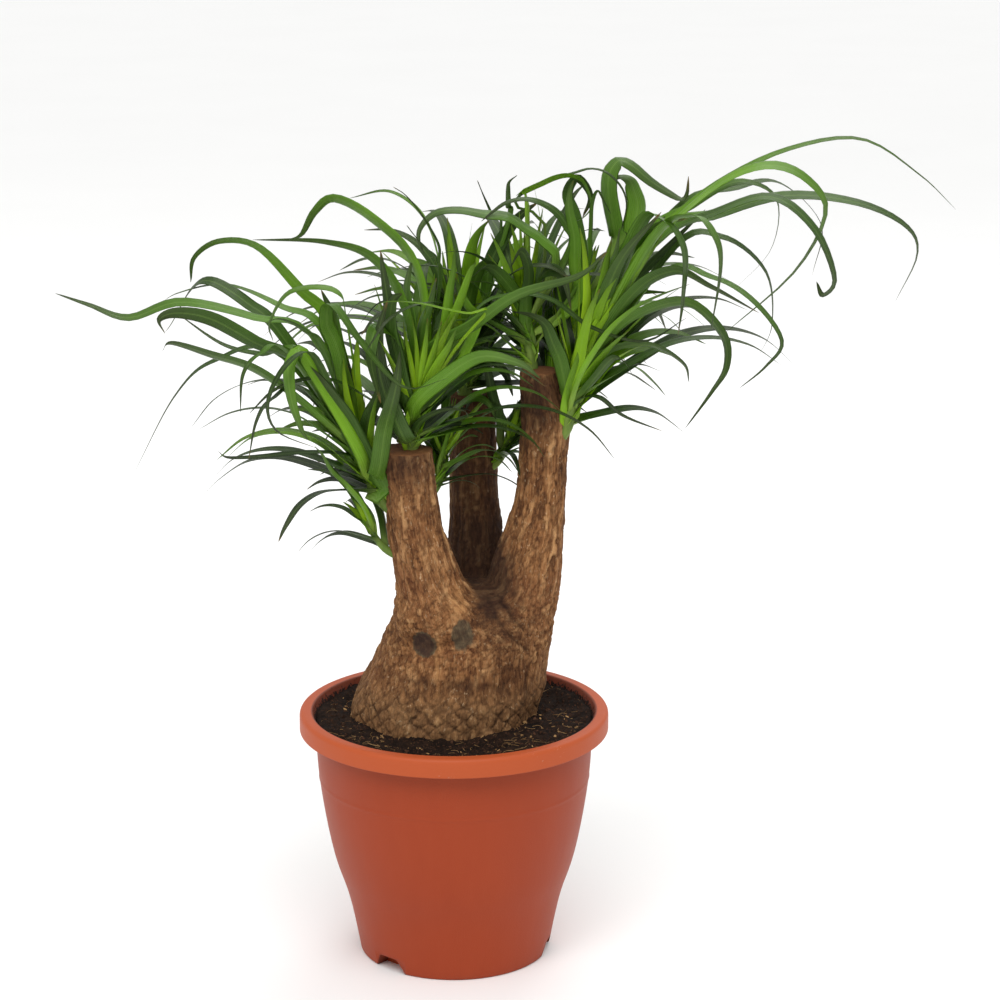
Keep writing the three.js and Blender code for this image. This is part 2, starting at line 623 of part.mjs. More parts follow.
function planLeaves(shoot, index) {
  const curve = stemCurve(shoot);
  const upright = curve.getTangent(1);
  const random = drawer(101 + 17 * index);
  const plans = shoot.seen.map((spec, i) => {
    const share = mix(...habit.seenRoots, (i * habit.apart) % 1);
    const [seen] = spec;
    return { path: seenPath(curve, share, spec), upright, width: Math.max(shoot.width, seen), seen };
  });
  for (let i = 0; i < shoot.fill.count; i += 1) {
    const path = fillPath(curve, shoot, i, random);
    plans.push({ path, upright, width: shoot.width * mix(...habit.widthPlay, random()), seen: 0 });
  }
  return plans;
}

// Every shoot with its leaves fused on. A leaf that would cross another shoot, the trunk or the free part
// of a leaf of its own shoot is turned aside about its root by a few degrees. Where no turn clears the
// other shoots it is left out.
function makeShoots(trunk) {
  const taken = shoots.map((shoot) => [entry(stemBody(shoot, leaf.room))]);
  return shoots.map((shoot, index) => {
    const others = [entry(trunk), ...taken.flatMap((list, i) => (i === index ? [] : list))];
    const ownFree = [];
    let body = stemBody(shoot, 0);
    for (const plan of planLeaves(shoot, index)) {
      const clear = leaf.turns
        .map((degrees) => ({ ...plan, path: turnedAbout(plan.path, degrees) }))
        .filter((bent) => !crosses(bladeBody(bent, leaf.room), others));
      const best = clear.find((bent) => !crosses(bladeBody(bent, 0, leaf.rooted), ownFree)) ?? clear[0];
      if (best) {
        body = body.add(bladeBody(best, 0));
        taken[index].push(entry(bladeBody(best, leaf.room)));
        ownFree.push(entry(bladeBody(best, 0, leaf.rooted)));
      }
    }
    return { name: shoot.name, geometry: asGeometry(body) };
  });
}

// ---------------------------------------------------------------- the whole plant

const plant = new THREE.Group();

function place(name, geometry, finish) {
  const mesh = new THREE.Mesh(geometry, new THREE.MeshStandardMaterial(finish));
  mesh.name = name;
  plant.add(mesh);
}

let trunk = trunkBody(0);
for (const shoot of shoots) {
  trunk = trunk.subtract(stemBody(shoot, GAP));
}

place("pot", makePot(), finishes.pot);
place("soil", makeSoil(), finishes.soil);
place("trunk", asGeometry(trunk), finishes.bark);
for (const { name, geometry } of makeShoots(trunk)) {
  place(name, geometry, finishes.leaf);
}

export default plant;
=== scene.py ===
import math

import bmesh
import bpy
from mathutils import Matrix, Vector, noise
from mathutils.bvhtree import BVHTree


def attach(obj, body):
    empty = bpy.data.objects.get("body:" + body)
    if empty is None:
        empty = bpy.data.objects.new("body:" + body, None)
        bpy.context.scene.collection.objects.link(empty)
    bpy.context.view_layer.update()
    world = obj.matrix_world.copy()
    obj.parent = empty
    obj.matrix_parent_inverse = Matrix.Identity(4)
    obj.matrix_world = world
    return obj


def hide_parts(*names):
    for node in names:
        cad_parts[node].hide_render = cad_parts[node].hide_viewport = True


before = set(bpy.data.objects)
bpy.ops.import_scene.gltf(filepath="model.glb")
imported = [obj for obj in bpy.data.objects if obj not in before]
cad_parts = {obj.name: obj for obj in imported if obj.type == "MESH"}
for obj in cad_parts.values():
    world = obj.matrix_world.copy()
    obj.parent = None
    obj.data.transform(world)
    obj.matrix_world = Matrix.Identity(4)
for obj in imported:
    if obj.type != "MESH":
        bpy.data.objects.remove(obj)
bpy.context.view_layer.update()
print("frame loaded:", ", ".join(sorted(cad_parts)))

mm = 0.001                      # shapes are worked out in millimetres and set down in metres
noise.seed_set(1)               # noise vectors are the same in every run


def mixed(low, high, share):
    return low + (high - low) * share


def eased(value, low, high):
    # 0 up to low, 1 from high on, and a soft step between them
    t = min(max((value - low) / (high - low), 0.0), 1.0)
    return t * t * (3 - 2 * t)


def drawer(seed):
    # numbers from 0 to 1 that are the same in every run
    state = [seed]

    def draw():
        state[0] = (state[0] * 1664525 + 1013904223) % 2 ** 32
        return state[0] / 2 ** 32
    return draw


def colour(red, green, blue):
    # a paint chart's values, 0 to 255, as the light that a surface returns
    def light(value):
        part = value / 255
        return part / 12.92 if part <= 0.04045 else ((part + 0.055) / 1.055) ** 2.4
    return (light(red), light(green), light(blue), 1.0)


def pick(sockets, key):
    # a socket by its number, its identifier or its name
    if isinstance(key, int):
        return sockets[key]
    return next((s for s in sockets if s.identifier == key), None) or sockets[key]


class Signal:
    # a node's output that takes part in plain arithmetic: each operation adds its Math node
    def __init__(self, nodes, socket):
        self.nodes = nodes
        self.socket = socket

    def maths(self, operation, *values):
        return self.nodes.add("ShaderNodeMath", {"operation": operation}, dict(enumerate(values)))

    def __add__(self, other):
        return self.maths("ADD", self, other)

    def __radd__(self, other):
        return self.maths("ADD", other, self)

    def __sub__(self, other):
        return self.maths("SUBTRACT", self, other)

    def __rsub__(self, other):
        return self.maths("SUBTRACT", other, self)

    def __mul__(self, other):
        return self.maths("MULTIPLY", self, other)

    def __rmul__(self, other):
        return self.maths("MULTIPLY", other, self)

    def __pow__(self, other):
        return self.maths("POWER", self, other)

    def sine(self):
        return self.maths("SINE", self)

    def size(self):
        return self.maths("ABSOLUTE", self)

    def step(self, low, high):
        # 0 up to low, 1 from high on, and a soft step between them
        settings = {"interpolation_type": "SMOOTHSTEP"}
        values = {"Value": self, "From Min": low, "From Max": high}
        return self.nodes.add("ShaderNodeMapRange", settings, values)

    def other(self, name):
        # another output of the same node
        return Signal(self.nodes, pick(self.socket.node.outputs, name))


def setStops(ramp, stops):
    while len(ramp.elements) > 1:
        ramp.elements.remove(ramp.elements[-1])
    ramp.elements[0].position, ramp.elements[0].color = stops[0]
    for position, shade in stops[1:]:
        ramp.elements.new(position).color = shade


class NodeTree:
    # a node tree that any node is added to by its type, its settings and the values of its sockets
    def __init__(self, tree):
        self.tree = tree

    def add(self, kind, settings=None, values=None, output=0):
        node = self.tree.nodes.new(kind)
        for name, setting in (settings or {}).items():
            if name == "stops":
                setStops(node.color_ramp, setting)
            else:
                setattr(node, name, setting)
        for key, value in (values or {}).items():
            if isinstance(value, Signal):
                self.tree.links.new(value.socket, pick(node.inputs, key))
            else:
                pick(node.inputs, key).default_value = value
        return Signal(self, pick(node.outputs, output)) if node.outputs else None


class Finish(NodeTree):
    # a material: constant values sit on the surface shader, and only what varies is linked to it
    def __init__(self, name, **constants):
        self.material = bpy.data.materials.new(name)
        self.material.use_nodes = True
        super().__init__(self.material.node_tree)
        self.tree.nodes.clear()
        self.constants = constants

    def place(self):
        return self.add("ShaderNodeTexCoord", output="Object")

    def attribute(self, name, output="Fac"):
        return self.add("ShaderNodeAttribute", {"attribute_name": name}, output=output)

    def stretched(self, vector, factors):
        return self.add("ShaderNodeVectorMath", {"operation": "MULTIPLY"}, {0: vector, 1: factors})

    def noise(self, vector, scale, detail=3.0, roughness=0.55):
        values = {"Vector": vector, "Scale": scale, "Detail": detail, "Roughness": roughness}
        return self.add("ShaderNodeTexNoise", None, values)

    def ramp(self, factor, *stops):
        return self.add("ShaderNodeValToRGB", {"stops": stops}, {"Fac": factor})

    def blend(self, factor, first, second):
        values = {"Factor_Float": factor, "A_Color": first, "B_Color": second}
        return self.add("ShaderNodeMix", {"data_type": "RGBA"}, values, "Result_Color")

    def done(self, paint, roughness, height=None, depth=0.001):
        values = {**self.constants, "Base Color": paint, "Roughness": roughness}
        if height:
            values["Normal"] = self.add("ShaderNodeBump", None, {"Distance": depth, "Height": height})
        surface = self.add("ShaderNodeBsdfPrincipled", None, values)
        self.add("ShaderNodeOutputMaterial", None, {"Surface": surface})
        return self.material


class Growth(NodeTree):
    # a Geometry Nodes tree with named inputs, which ends in real faces that carry a material
    def __init__(self, name, **inputs):
        super().__init__(bpy.data.node_groups.new(name, "GeometryNodeTree"))
        self.tree.interface.new_socket("Geometry", in_out="INPUT", socket_type="NodeSocketGeometry")
        for label, kind in inputs.items():
            self.tree.interface.new_socket(label, in_out="INPUT", socket_type="NodeSocket" + kind)
        self.tree.interface.new_socket("Geometry", in_out="OUTPUT", socket_type="NodeSocketGeometry")
        self.entry = self.tree.nodes.new("NodeGroupInput")

    def given(self, label):
        return Signal(self, self.entry.outputs[label])

    def named(self, name, kind="FLOAT"):
        return self.add("GeometryNodeInputNamedAttribute", {"data_type": kind}, {"Name": name})

    def drawn(self, low, high, salt, kind="FLOAT"):
        # a random value for each point, fixed by the tree's seed
        keys = {"FLOAT": ("Min_001", "Max_001", "Value_001"), "FLOAT_VECTOR": ("Min", "Max", "Value")}
        first, last, result = keys[kind]
        values = {first: low, last: high, "Seed": self.given("seed") + salt}
        return self.add("FunctionNodeRandomValue", {"data_type": kind}, values, result)

    def done(self, geometry):
        real = self.add("GeometryNodeRealizeInstances", None, {"Geometry": geometry})
        values = {"Geometry": real, "Material": self.given("material")}
        dressed = self.add("GeometryNodeSetMaterial", None, values)
        self.tree.links.new(dressed.socket, self.tree.nodes.new("NodeGroupOutput").inputs[0])
        return self

    def applied(self, name, mesh, **values):
        # grows on the mesh and gives back what grew, as a plain mesh
        carrier = bpy.data.objects.new(name, mesh)
        modifier = carrier.modifiers.new("growth", "NODES")
        modifier.node_group = self.tree
        for item in self.tree.interface.items_tree:
            if item.name in values:
                modifier[item.identifier] = values[item.name]
        return baked(carrier)


def baked(carrier):
    # the carrier with its modifiers worked out, as a plain mesh of the same name
    bpy.context.scene.collection.objects.link(carrier)
    seen = carrier.evaluated_get(bpy.context.evaluated_depsgraph_get())
    mesh = bpy.data.meshes.new_from_object(seen)
    name, bare = carrier.name, carrier.data
    bpy.data.objects.remove(carrier)
    if not bare.users:
        bpy.data.meshes.remove(bare)
    mesh.name = name
    return mesh


def meshOf(name, points, faces=(), edges=(), material=None, smooth=True):
    # a mesh from points in millimetres
    mesh = bpy.data.meshes.new(name)
    mesh.from_pydata([Vector(point) * mm for point in points], edges, faces)
    if material:
        mesh.materials.append(material)
    if smooth:
        mesh.shade_smooth()
    return mesh


def mark(mesh, name, values, kind="FLOAT"):
    # a value or a vector for each point of a mesh
    layer = mesh.attributes.new(name, kind, "POINT")
    if kind == "FLOAT_VECTOR":
        layer.data.foreach_set("vector", [part for value in values for part in value])
    else:
        layer.data.foreach_set("value", values)


def settle(mesh, node=None):
    # a finished piece: it stands where its mesh is, rides on the root and may stand for a node
    piece = bpy.data.objects.new(mesh.name, mesh)
    bpy.context.scene.collection.objects.link(piece)
    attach(piece, "root")
    if node:
        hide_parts(node)
    print("piece:", piece.name, len(mesh.polygons), "faces")
    return piece


def loft(rings, closed=True):
    # points and faces of a skin over rings of points that follow each other
    around = len(rings[0])
    points = [point for ring in rings for point in ring]
    faces = []
    for row in range(len(rings) - 1):
        for i in range(around):
            a = row * around + i
            b = row * around + (i + 1) % around
            faces.append((a, b, b + around, a + around))
    if closed:
        last = len(points) - around
        faces.append(tuple(reversed(range(around))))
        faces.append(tuple(range(last, last + around)))
    return points, faces


def smoothRun(rows, steps):
    # a smooth run of number lists through the listed ones, with a few steps to each span
    def at(i):
        return rows[min(max(i, 0), len(rows) - 1)]
    run = []
    for span in range(len(rows) - 1):
        for k in range(steps):
            t = k / steps
            near = zip(at(span - 1), at(span), at(span + 1), at(span + 2))
            run.append([q + 0.5 * t * (r - p + t * (2 * p - 5 * q + 4 * r - s + t * (3 * (q - r) + s - p)))
                        for p, q, r, s in near])
    return run + [rows[-1]]


studio = {
    "floorSize": 240.0,
    "sky": 0.72,
    "sun": ((0.12, -0.85, 1.5), 1.2, 38),      # where it shines from, how strongly, and its width in degrees
    "lamps": [                                  # place, size and power of each soft lamp; all face the plant
        ((-1.2, -2.0, 2.5), 1.2, 20.0),
        ((0.5, 1.6, 2.2), 1.4, 18.0),
    ],
    "aim": (0.03, 0.0, 0.3),
    "cameraPlace": (0.036, -2.231, 0.9605),
    "cameraPitch": -14.91,
    "lens": 108.0,
    "sensorWidth": 36.0,
}


def floorFinish():
    finish = Finish("studioFloor", **{"Specular IOR Level": 0.2})
    shade = finish.noise(finish.place(), 3.0)
    paint = finish.blend(shade, colour(244, 244, 243), colour(247, 247, 246))
    return finish.done(paint, 0.7 + 0.1 * shade)


def placed(item, place, facing):
    # a lamp or a camera at its place, looking along its facing
    holder = bpy.data.objects.new(item.name, item)
    bpy.context.scene.collection.objects.link(holder)
    holder.location = place
    holder.rotation_euler = facing.to_track_quat("-Z", "Y").to_euler()
    return holder


def buildStudio():
    half = studio["floorSize"] / 2 / mm
    corners = [(-half, -half, 0), (half, -half, 0), (half, half, 0), (-half, half, 0)]
    mesh = meshOf("studio_floor", corners, [(0, 1, 2, 3)], material=floorFinish(), smooth=False)
    floor = bpy.data.objects.new("studio_floor", mesh)
    bpy.context.scene.collection.objects.link(floor)

    world = bpy.data.worlds.new("studioSky")
    world.use_nodes = True
    sky = world.node_tree.nodes["Background"]
    sky.inputs["Color"].default_value = (1.0, 1.0, 1.0, 1.0)
    sky.inputs["Strength"].default_value = studio["sky"]
    bpy.context.scene.world = world

    place, strength, width = studio["sun"]
    sun = bpy.data.lights.new("softSun", "SUN")
    sun.energy = strength
    sun.angle = math.radians(width)
    placed(sun, place, -Vector(place))
    for number, (place, size, power) in enumerate(studio["lamps"]):
        lamp = bpy.data.lights.new(f"softLamp{number}", "AREA")
        lamp.size = size
        lamp.energy = power
        placed(lamp, place, Vector(studio["aim"]) - Vector(place))

    pitch = math.radians(studio["cameraPitch"])
    camera = bpy.data.cameras.new("camera")
    camera.lens = studio["lens"]
    camera.sensor_width = studio["sensorWidth"]
    facing = Vector((0, math.cos(pitch), math.sin(pitch)))
    bpy.context.scene.camera = placed(camera, studio["cameraPlace"], facing)
    bpy.context.scene.view_settings.view_transform = "Standard"


buildStudio()
print("studio set")


potShape = {
    "facets": 160,
    "wall": 2.5,
    # outer line of the wall from the foot up, as radius and height; the third number rounds the corner
    "outside": [(75, 0, 2), (79.5, 25, 30), (85, 50, 30), (94, 75, 30), (99.5, 100, 30), (103.7, 125, 40),
                (107, 150, 40), (108.6, 182, 20), (113.6, 195.4, 1), (118.5, 195.4, 1)],
    "rim": [(118.5, 183, 0.8), (121, 183, 0.8), (121, 198, 4), (111, 198, 1.4)],
    "inside": [(106, 182, 20), (104.5, 150, 40), (97, 100, 40), (82, 50, 30), (72.5, 3, 3)],
    "mouldLine": (144.0, 0.35, 1.6),           # height, how far it stands out, and how wide it is
    "mouldFrom": 100,                          # radius and height past which the line can show
    "fineRings": (60, 181, 0.8),               # between these heights the outer wall takes a ring this often
    "notches": {"count": 3, "firstAngle": 228, "width": 32, "slope": 7, "height": 12, "depth": 13,
                "corner": 3, "outTo": 100},
    "drain": {"radius": 3.5, "reach": 8, "facets": 20},
}


def rounded(corners, steps=5):
    # a line through corners given as (radius, height, rounding), with each corner turned in an arc
    line = [Vector(corners[0][:2])]
    for before, here, after in zip(corners, corners[1:], corners[2:]):
        corner = Vector(here[:2])
        back = Vector(before[:2]) - corner
        ahead = Vector(after[:2]) - corner
        reach = min(here[2], 0.45 * back.length, 0.45 * ahead.length)
        start = corner + back.normalized() * reach
        end = corner + ahead.normalized() * reach
        for k in range(steps + 1):
            t = k / steps
            line.append(start * (1 - t) ** 2 + corner * 2 * t * (1 - t) + end * t ** 2)
    return line + [Vector(corners[-1][:2])]


def spun(line, facets):
    # points and faces of a closed body turned about the upright axis; the line starts and ends on it
    rings = line[1:-1]
    points = [(0, 0, line[0].y)]
    for radius, height in rings:
        for i in range(facets):
            angle = 2 * math.pi * i / facets
            points.append((radius * math.cos(angle), radius * math.sin(angle), height))
    points.append((0, 0, line[-1].y))
    faces = []
    for i in range(facets):
        j = (i + 1) % facets
        faces.append((0, 1 + j, 1 + i))
        faces.append((len(points) - 1, len(points) - 1 - facets + i, len(points) - 1 - facets + j))
        for row in range(len(rings) - 1):
            a = 1 + row * facets
            faces.append((a + i, a + j, a + facets + j, a + facets + i))
    return points, faces


def notchWays(index):
    # the ways outwards and sideways at one drain notch
    angle = math.radians(potShape["notches"]["firstAngle"] + index * 360 / potShape["notches"]["count"])
    outwards = Vector((math.cos(angle), math.sin(angle), 0))
    return outwards, Vector((-outwards.y, outwards.x, 0))


def notchBar(index, extra):
    # the bar that fills one drain notch, grown by extra on its sides, top and inner end
    shape = potShape["notches"]
    half = shape["width"] / 2 + extra
    top = shape["height"] + extra
    slope = shape["slope"]
    under, corner = -1 - extra, shape["corner"]
    outline = rounded([(0, under, 0), (half, under, 0), (half - slope, top, corner),
                       (slope - half, top, corner), (-half, under, 0), (0, under, 0)], 4)[1:-1]
    inner = potShape["outside"][0][0] - shape["depth"] - extra
    outwards, sideways = notchWays(index)
    rings = [[outwards * reach + sideways * point.x + Vector((0, 0, point.y)) for point in outline]
             for reach in (inner, shape["outTo"])]
    return loft(rings)


def drainHole(index):
    # the round bar of one drain hole, through the plastic behind its notch
    notch, hole = potShape["notches"], potShape["drain"]
    outwards, sideways = notchWays(index)
    middle = potShape["outside"][0][0] - notch["depth"]
    turns = [2 * math.pi * k / hole["facets"] for k in range(hole["facets"])]
    rings = [[outwards * reach + sideways * hole["radius"] * math.cos(turn)
              + Vector((0, 0, notch["height"] / 2 + hole["radius"] * math.sin(turn))) for turn in turns]
             for reach in (middle - hole["reach"], middle + hole["reach"])]
    return loft(rings)


def solidOf(name, skin):
    # a loose tool body for a cut or a join, with its faces outwards
    mesh = meshOf(name, *skin, smooth=False)
    form = bmesh.new()
    form.from_mesh(mesh)
    bmesh.ops.recalc_face_normals(form, faces=form.faces)
    form.to_mesh(mesh)
    form.free()
    body = bpy.data.objects.new(name, mesh)
    bpy.context.scene.collection.objects.link(body)
    return body


def withoutFlaps(mesh):
    # a cut can leave two faces back to back on the same corners: both go
    form = bmesh.new()
    form.from_mesh(mesh)
    sharing = {}
    for face in form.faces:
        sharing.setdefault(frozenset(corner.index for corner in face.verts), []).append(face)
    flaps = [face for faces in sharing.values() if len(faces) > 1 for face in faces]
    bmesh.ops.delete(form, geom=flaps, context="FACES")
    form.to_mesh(mesh)
    form.free()
    return mesh


def carved(name, mesh, steps):
    # the mesh after each (operation, tool body) in turn
    carrier = bpy.data.objects.new(name, mesh)
    for operation, tool in steps:
        modifier = carrier.modifiers.new(tool.name, "BOOLEAN")
        modifier.operation = operation
        modifier.object = tool
        modifier.solver = "EXACT"
    made = baked(carrier)
    for _, tool in steps:
        bpy.data.objects.remove(tool)
    return withoutFlaps(made)


def housing(index):
    # the plastic over one notch, inside the pot, held within the middle of the wall
    middle = potShape["wall"] / 2
    foot, above = potShape["outside"][0], potShape["outside"][2]
    line = [(0, middle), (foot[0] - middle, middle), (above[0] - middle, above[1]), (0, above[1])]
    core = solidOf("core", spun([Vector(point) for point in line], potShape["facets"]))
    body = solidOf(f"housing{index}", notchBar(index, potShape["wall"]))
    body.data = carved("held", body.data, [("INTERSECT", core)])
    return body


def potFinish():
    finish = Finish("terracottaPlastic", **{"Specular IOR Level": 0.24})
    place = finish.place()
    apart = finish.add("ShaderNodeSeparateXYZ", None, {"Vector": place})
    height = apart.other("Z")
    streaks = finish.noise(finish.stretched(place, (1, 1, 0.12)), 60, 4)
    cloud = finish.noise(place, 14, 3)
    grain = finish.noise(place, 1400, 2)
    wall = finish.blend(0.6 * streaks + 0.4 * cloud, colour(148, 55, 22), colour(159, 63, 29))
    # the rim is a shade lighter, with small pale scuffs
    rim = height.step(0.1825, 0.184)
    paint = finish.blend(rim, wall, colour(178, 80, 40))
    scuffs = finish.noise(finish.stretched(place, (1, 1, 2.2)), 210, 5, 0.7)
    sparse = finish.noise(place, 26, 2).step(0.56, 0.66)
    worn = scuffs.step(0.62, 0.68) * sparse * rim
    paint = finish.blend(worn * 0.55, paint, colour(214, 150, 118))
    # the whole inner wall is painted darker, and earth has stuck to it in specks, and to the foot
    facing = finish.add("ShaderNodeNewGeometry", output="True Normal")
    flat = finish.stretched(place, (1, 1, 0))
    settings = {"operation": "DOT_PRODUCT"}
    outwards = finish.add("ShaderNodeVectorMath", settings, {0: facing, 1: flat}, "Value")
    innerWall = 1 - outwards.step(-0.03, 0.0)
    paint = finish.blend(innerWall * 0.7, paint, colour(92, 46, 32))
    high = height.step(0.189, 0.1975)
    specks = finish.noise(place, 460, 4, 0.65)
    earth = innerWall * specks.step(0.36 + 0.26 * high, 0.42 + 0.27 * high)
    paint = finish.blend(earth, paint, colour(38, 24, 18))
    foot = (1 - height.step(0.0, 0.006)) * cloud.step(0.35, 0.7)
    paint = finish.blend(foot * 0.35, paint, colour(120, 62, 42))
    roughness = 0.42 + 0.16 * cloud + 0.25 * worn + 0.3 * earth
    relief = 0.5 * grain + 0.8 * streaks + 0.6 * worn + 2.0 * earth
    return finish.done(paint, roughness, relief, 0.00025)


def buildPot():
    line = rounded([(0, 0, 0), *potShape["outside"], *potShape["rim"], *potShape["inside"],
                    (0, potShape["inside"][-1][1], 0)])
    at, standing, width = potShape["mouldLine"]
    low, high, step = potShape["fineRings"]
    fine = []
    for here, following in zip(line, line[1:] + [None]):
        fine.append(here)
        if following and following.y > here.y and low < here.y < high:
            # long stretches of the outer wall take more rings, so that the mould line shows
            parts = max(1, round((following.y - here.y) / step))
            fine += [here.lerp(following, k / parts) for k in range(1, parts)]
    for point in fine:
        if min(point.x, point.y) > potShape["mouldFrom"] and point.y < high:
            point.x += standing * math.exp(-((point.y - at) / width) ** 2)
    mesh = meshOf("pot_shell", *spun(fine, potShape["facets"]), material=potFinish())
    notches = range(potShape["notches"]["count"])
    steps = [("UNION", housing(index)) for index in notches]
    for index in notches:
        steps.append(("DIFFERENCE", solidOf(f"notch{index}", notchBar(index, 0))))
        steps.append(("DIFFERENCE", solidOf(f"drain{index}", drainHole(index))))
    settle(carved("pot_shell", mesh, steps), "pot")


buildPot()


trunkShape = {
    # cross-sections from the bottom up: height, middle x and y, half width, half depth
    "base": [
        [150, -8, 20, 40, 34], [156, -8, 20, 58, 49], [168, -8.5, 20, 70, 59], [182, -8.5, 20, 74, 62],
        [193, -8, 20, 73.2, 62], [208, -3, 20, 73, 60], [223, 1.5, 20, 70, 57], [238, 6, 19, 67.5, 54],
        [254, 10.5, 17, 66, 50], [268, 14.5, 15, 63.5, 45], [281, 18, 14, 59, 39], [292, 21, 14, 47, 31],
        [299, 22, 14, 28, 19],
    ],
    "stems": [
        [[252, -3, 4, 41, 32], [270, -6, -1, 41, 34], [286, -10, -4, 35.5, 31], [301, -16.5, -6, 27.8, 26],
         [326, -23.5, -9, 23.8, 23], [350, -29.5, -11, 21.6, 20.5], [374, -31.8, -13, 20, 19.5],
         [398, -35, -15, 20.5, 20], [411, -36.5, -16, 21.5, 20.5]],
        [[252, 14, 36, 36, 34], [275, 16, 43, 30, 28], [300, 17, 49, 25, 24], [335, 17, 54, 21, 21],
         [365, 15.5, 56, 19, 19], [400, 14.5, 58, 18.3, 18], [424, 14, 58, 18, 17.5],
         [437, 13.5, 58, 17.5, 17]],
        [[252, 42, 20, 32, 31], [275, 48, 15, 32, 31], [300, 54.5, 12, 29, 27], [325, 59.5, 10.5, 26, 24],
         [345, 63.8, 10, 22.5, 22], [370, 67.5, 9, 19.8, 20], [400, 69.3, 9, 19, 19],
         [428, 71, 9, 19, 18.5], [448, 68.5, 9.5, 17.5, 17], [467, 66, 10, 15.5, 15.5]],
    ],
    "flute": 0.018,
    "flutes": [(5, 31, 1), (9, -19, 0.6)],  # count round the body, how slowly they wind, and strength
    "grid": 1.36,                  # size of the faces that the grown body is rebuilt in
    "softening": (0.5, 5),         # and how strongly and how often they are smoothed
    "plates": 28,                  # corky plates in one turn of the lowest bark
    "plateTop": 222,
    "plateHeight": 2.0,            # the cracks cross this many millimetres a radian
    "plateMiddle": (-6, 20),
    "crackWidth": (0.08, 0.36),
    # the bark's relief: how wide each kind is, and how far it stands out
    "broad": (8, 0.55),
    "fine": (2.8, 0.45),
    "lumps": (13, 0.75),
    "flakes": (4.6, 0.7),
    "groove": (0.13, 0.8),
    "crackDepth": 1.1,
    "creaseDepth": 1.5,
    # round scars on the front: middle x and z, half width, half height, darkness
    "scars": [(-22.6, 258.5, 9.8, 11.6, 1.0), (7.2, 267.6, 9.4, 13.4, 0.35)],
    "creases": [[(27, 293), (34.5, 277.7), (45, 264), (57, 250)], [(38, 291), (45, 280), (55, 268)]],
    # places on the front that are painted darker or lighter: x, z, half width, half height, strength; the
    # first, where the stems part, is painted shade
    "tintsAndShade": [(28, 306, 16, 26, -1.8), (42, 266, 24, 24, -0.4), (6, 291, 9, 16, 0.8),
              (-11.5, 240, 2.6, 24, 0.9), (-24, 229, 22, 5, -0.5), (10, 227, 20, 6, -0.45),
              (46, 232, 22, 20, -0.25), (-36, 404, 26, 17, -0.8), (62, 446, 26, 30, -1.0),
              (-32, 365, 26, 52, -0.12), (-50, 240, 18, 34, -0.2)],
    "hollow": (27, 36, 298, 28, 2.2),  # painted shade in the crevice where the three stems part: x, y, z, reach, strength
    "middleShade": (-0.75, 265, 345),   # painted shade on the middle stem, which stands under the crown: how dark, and between which heights it gets so
}


def grown(sections, steps, facets, extra=0.0):
    # a body through the listed sections, with broad and weak flutes that wind upwards
    rings = []
    for height, x, y, halfWidth, halfDepth in smoothRun(sections, steps):
        ring = []
        for i in range(facets):
            angle = 2 * math.pi * i / facets
            flutes = sum(strength * math.sin(count * angle + height / pitch)
                         for count, pitch, strength in trunkShape["flutes"])
            relief = 1 + trunkShape["flute"] * flutes
            ring.append(Vector((x + (halfWidth * relief + extra) * math.cos(angle),
                                y + (halfDepth * relief + extra) * math.sin(angle), height)))
        rings.append(ring)
    return loft(rings)


def sectionAt(sections, height):
    # middle and half sizes of a stem at a height, held at its ends
    if height <= sections[0][0]:
        return sections[0][1:]
    for lower, upper in zip(sections, sections[1:]):
        if height <= upper[0]:
            share = (height - lower[0]) / (upper[0] - lower[0])
            return [mixed(a, b, share) for a, b in zip(lower[1:], upper[1:])]
    return sections[-1][1:]


def leanAt(point):
    # how far the stems have leant away here, shared by nearness where they grow together,
    # and the middle stem's share
    total, middle, lean = 1e-6, 0.0, Vector((0, 0, 0))
    for number, sections in enumerate(trunkShape["stems"]):
        if point.z <= sections[0][0]:
            return lean, 0.0
        x, y, halfWidth, halfDepth = sectionAt(sections, point.z)
        away = math.hypot((point.x - x) / halfWidth, (point.y - y) / halfDepth) - 1
        weight = math.exp(-4 * max(0.0, away))
        total += weight
        lean += weight * Vector((x - sections[0][1], y - sections[0][2], 0))
        middle += weight if number == 1 else 0
    return lean / total, middle / total


def nearLine(x, z, line):
    # distance in the upright plane to a line of points
    best = 1e9
    for (ax, az), (bx, bz) in zip(line, line[1:]):
        run = (bx - ax, bz - az)
        share = ((x - ax) * run[0] + (z - az) * run[1]) / (run[0] ** 2 + run[1] ** 2)
        share = min(max(share, 0.0), 1.0)
        best = min(best, math.hypot(x - ax - share * run[0], z - az - share * run[1]))
    return best


def plateCracks(point):
    # cracks on both diagonals of the lowest bark, which part it into corky plates
    middleX, middleY = trunkShape["plateMiddle"]
    turn = math.atan2(point.y - middleY, point.x - middleX)
    wander = 0.9 * noise.noise(point / 12) + 0.4 * noise.noise(point / 5)
    half = trunkShape["plates"] / 2
    climb = point.z / trunkShape["plateHeight"] / 2
    first = abs(math.sin(half * turn + climb + wander))
    second = abs(math.sin(half * turn - climb - 1.3 * wander))
    patchy = 0.5 + 0.5 * eased(noise.noise(point / 15 + Vector((4, 4, 4))), -0.25, 0.2)
    return (1 - min(eased(way, *trunkShape["crackWidth"]) for way in (first, second))) * patchy


def tintAndShadeAt(point, middle):
    # how much darker or lighter the bark is painted: the middle stem is darker, as painted shade under the
    # crown, and so are some places on the front, with painted shade in the crevice where the stems part
    dark, low, high = trunkShape["middleShade"]
    tint = dark * eased(middle, 0.2, 0.9) * eased(point.z + 20 * noise.noise(point / 12), low, high)
    if point.y < 30:
        for x, z, halfWidth, halfHeight, strength in trunkShape["tintsAndShade"]:
            away = math.hypot((point.x - x) / halfWidth, (point.z - z) / halfHeight)
            tint += strength * math.exp(-(away + 0.35 * noise.noise(point / 6)) ** 2)
    # painted shade in the crevice where the stems part
    *hollow, reach, strength = trunkShape["hollow"]
    return tint - strength * math.exp(-((point - Vector(hollow)).length / reach) ** 2)


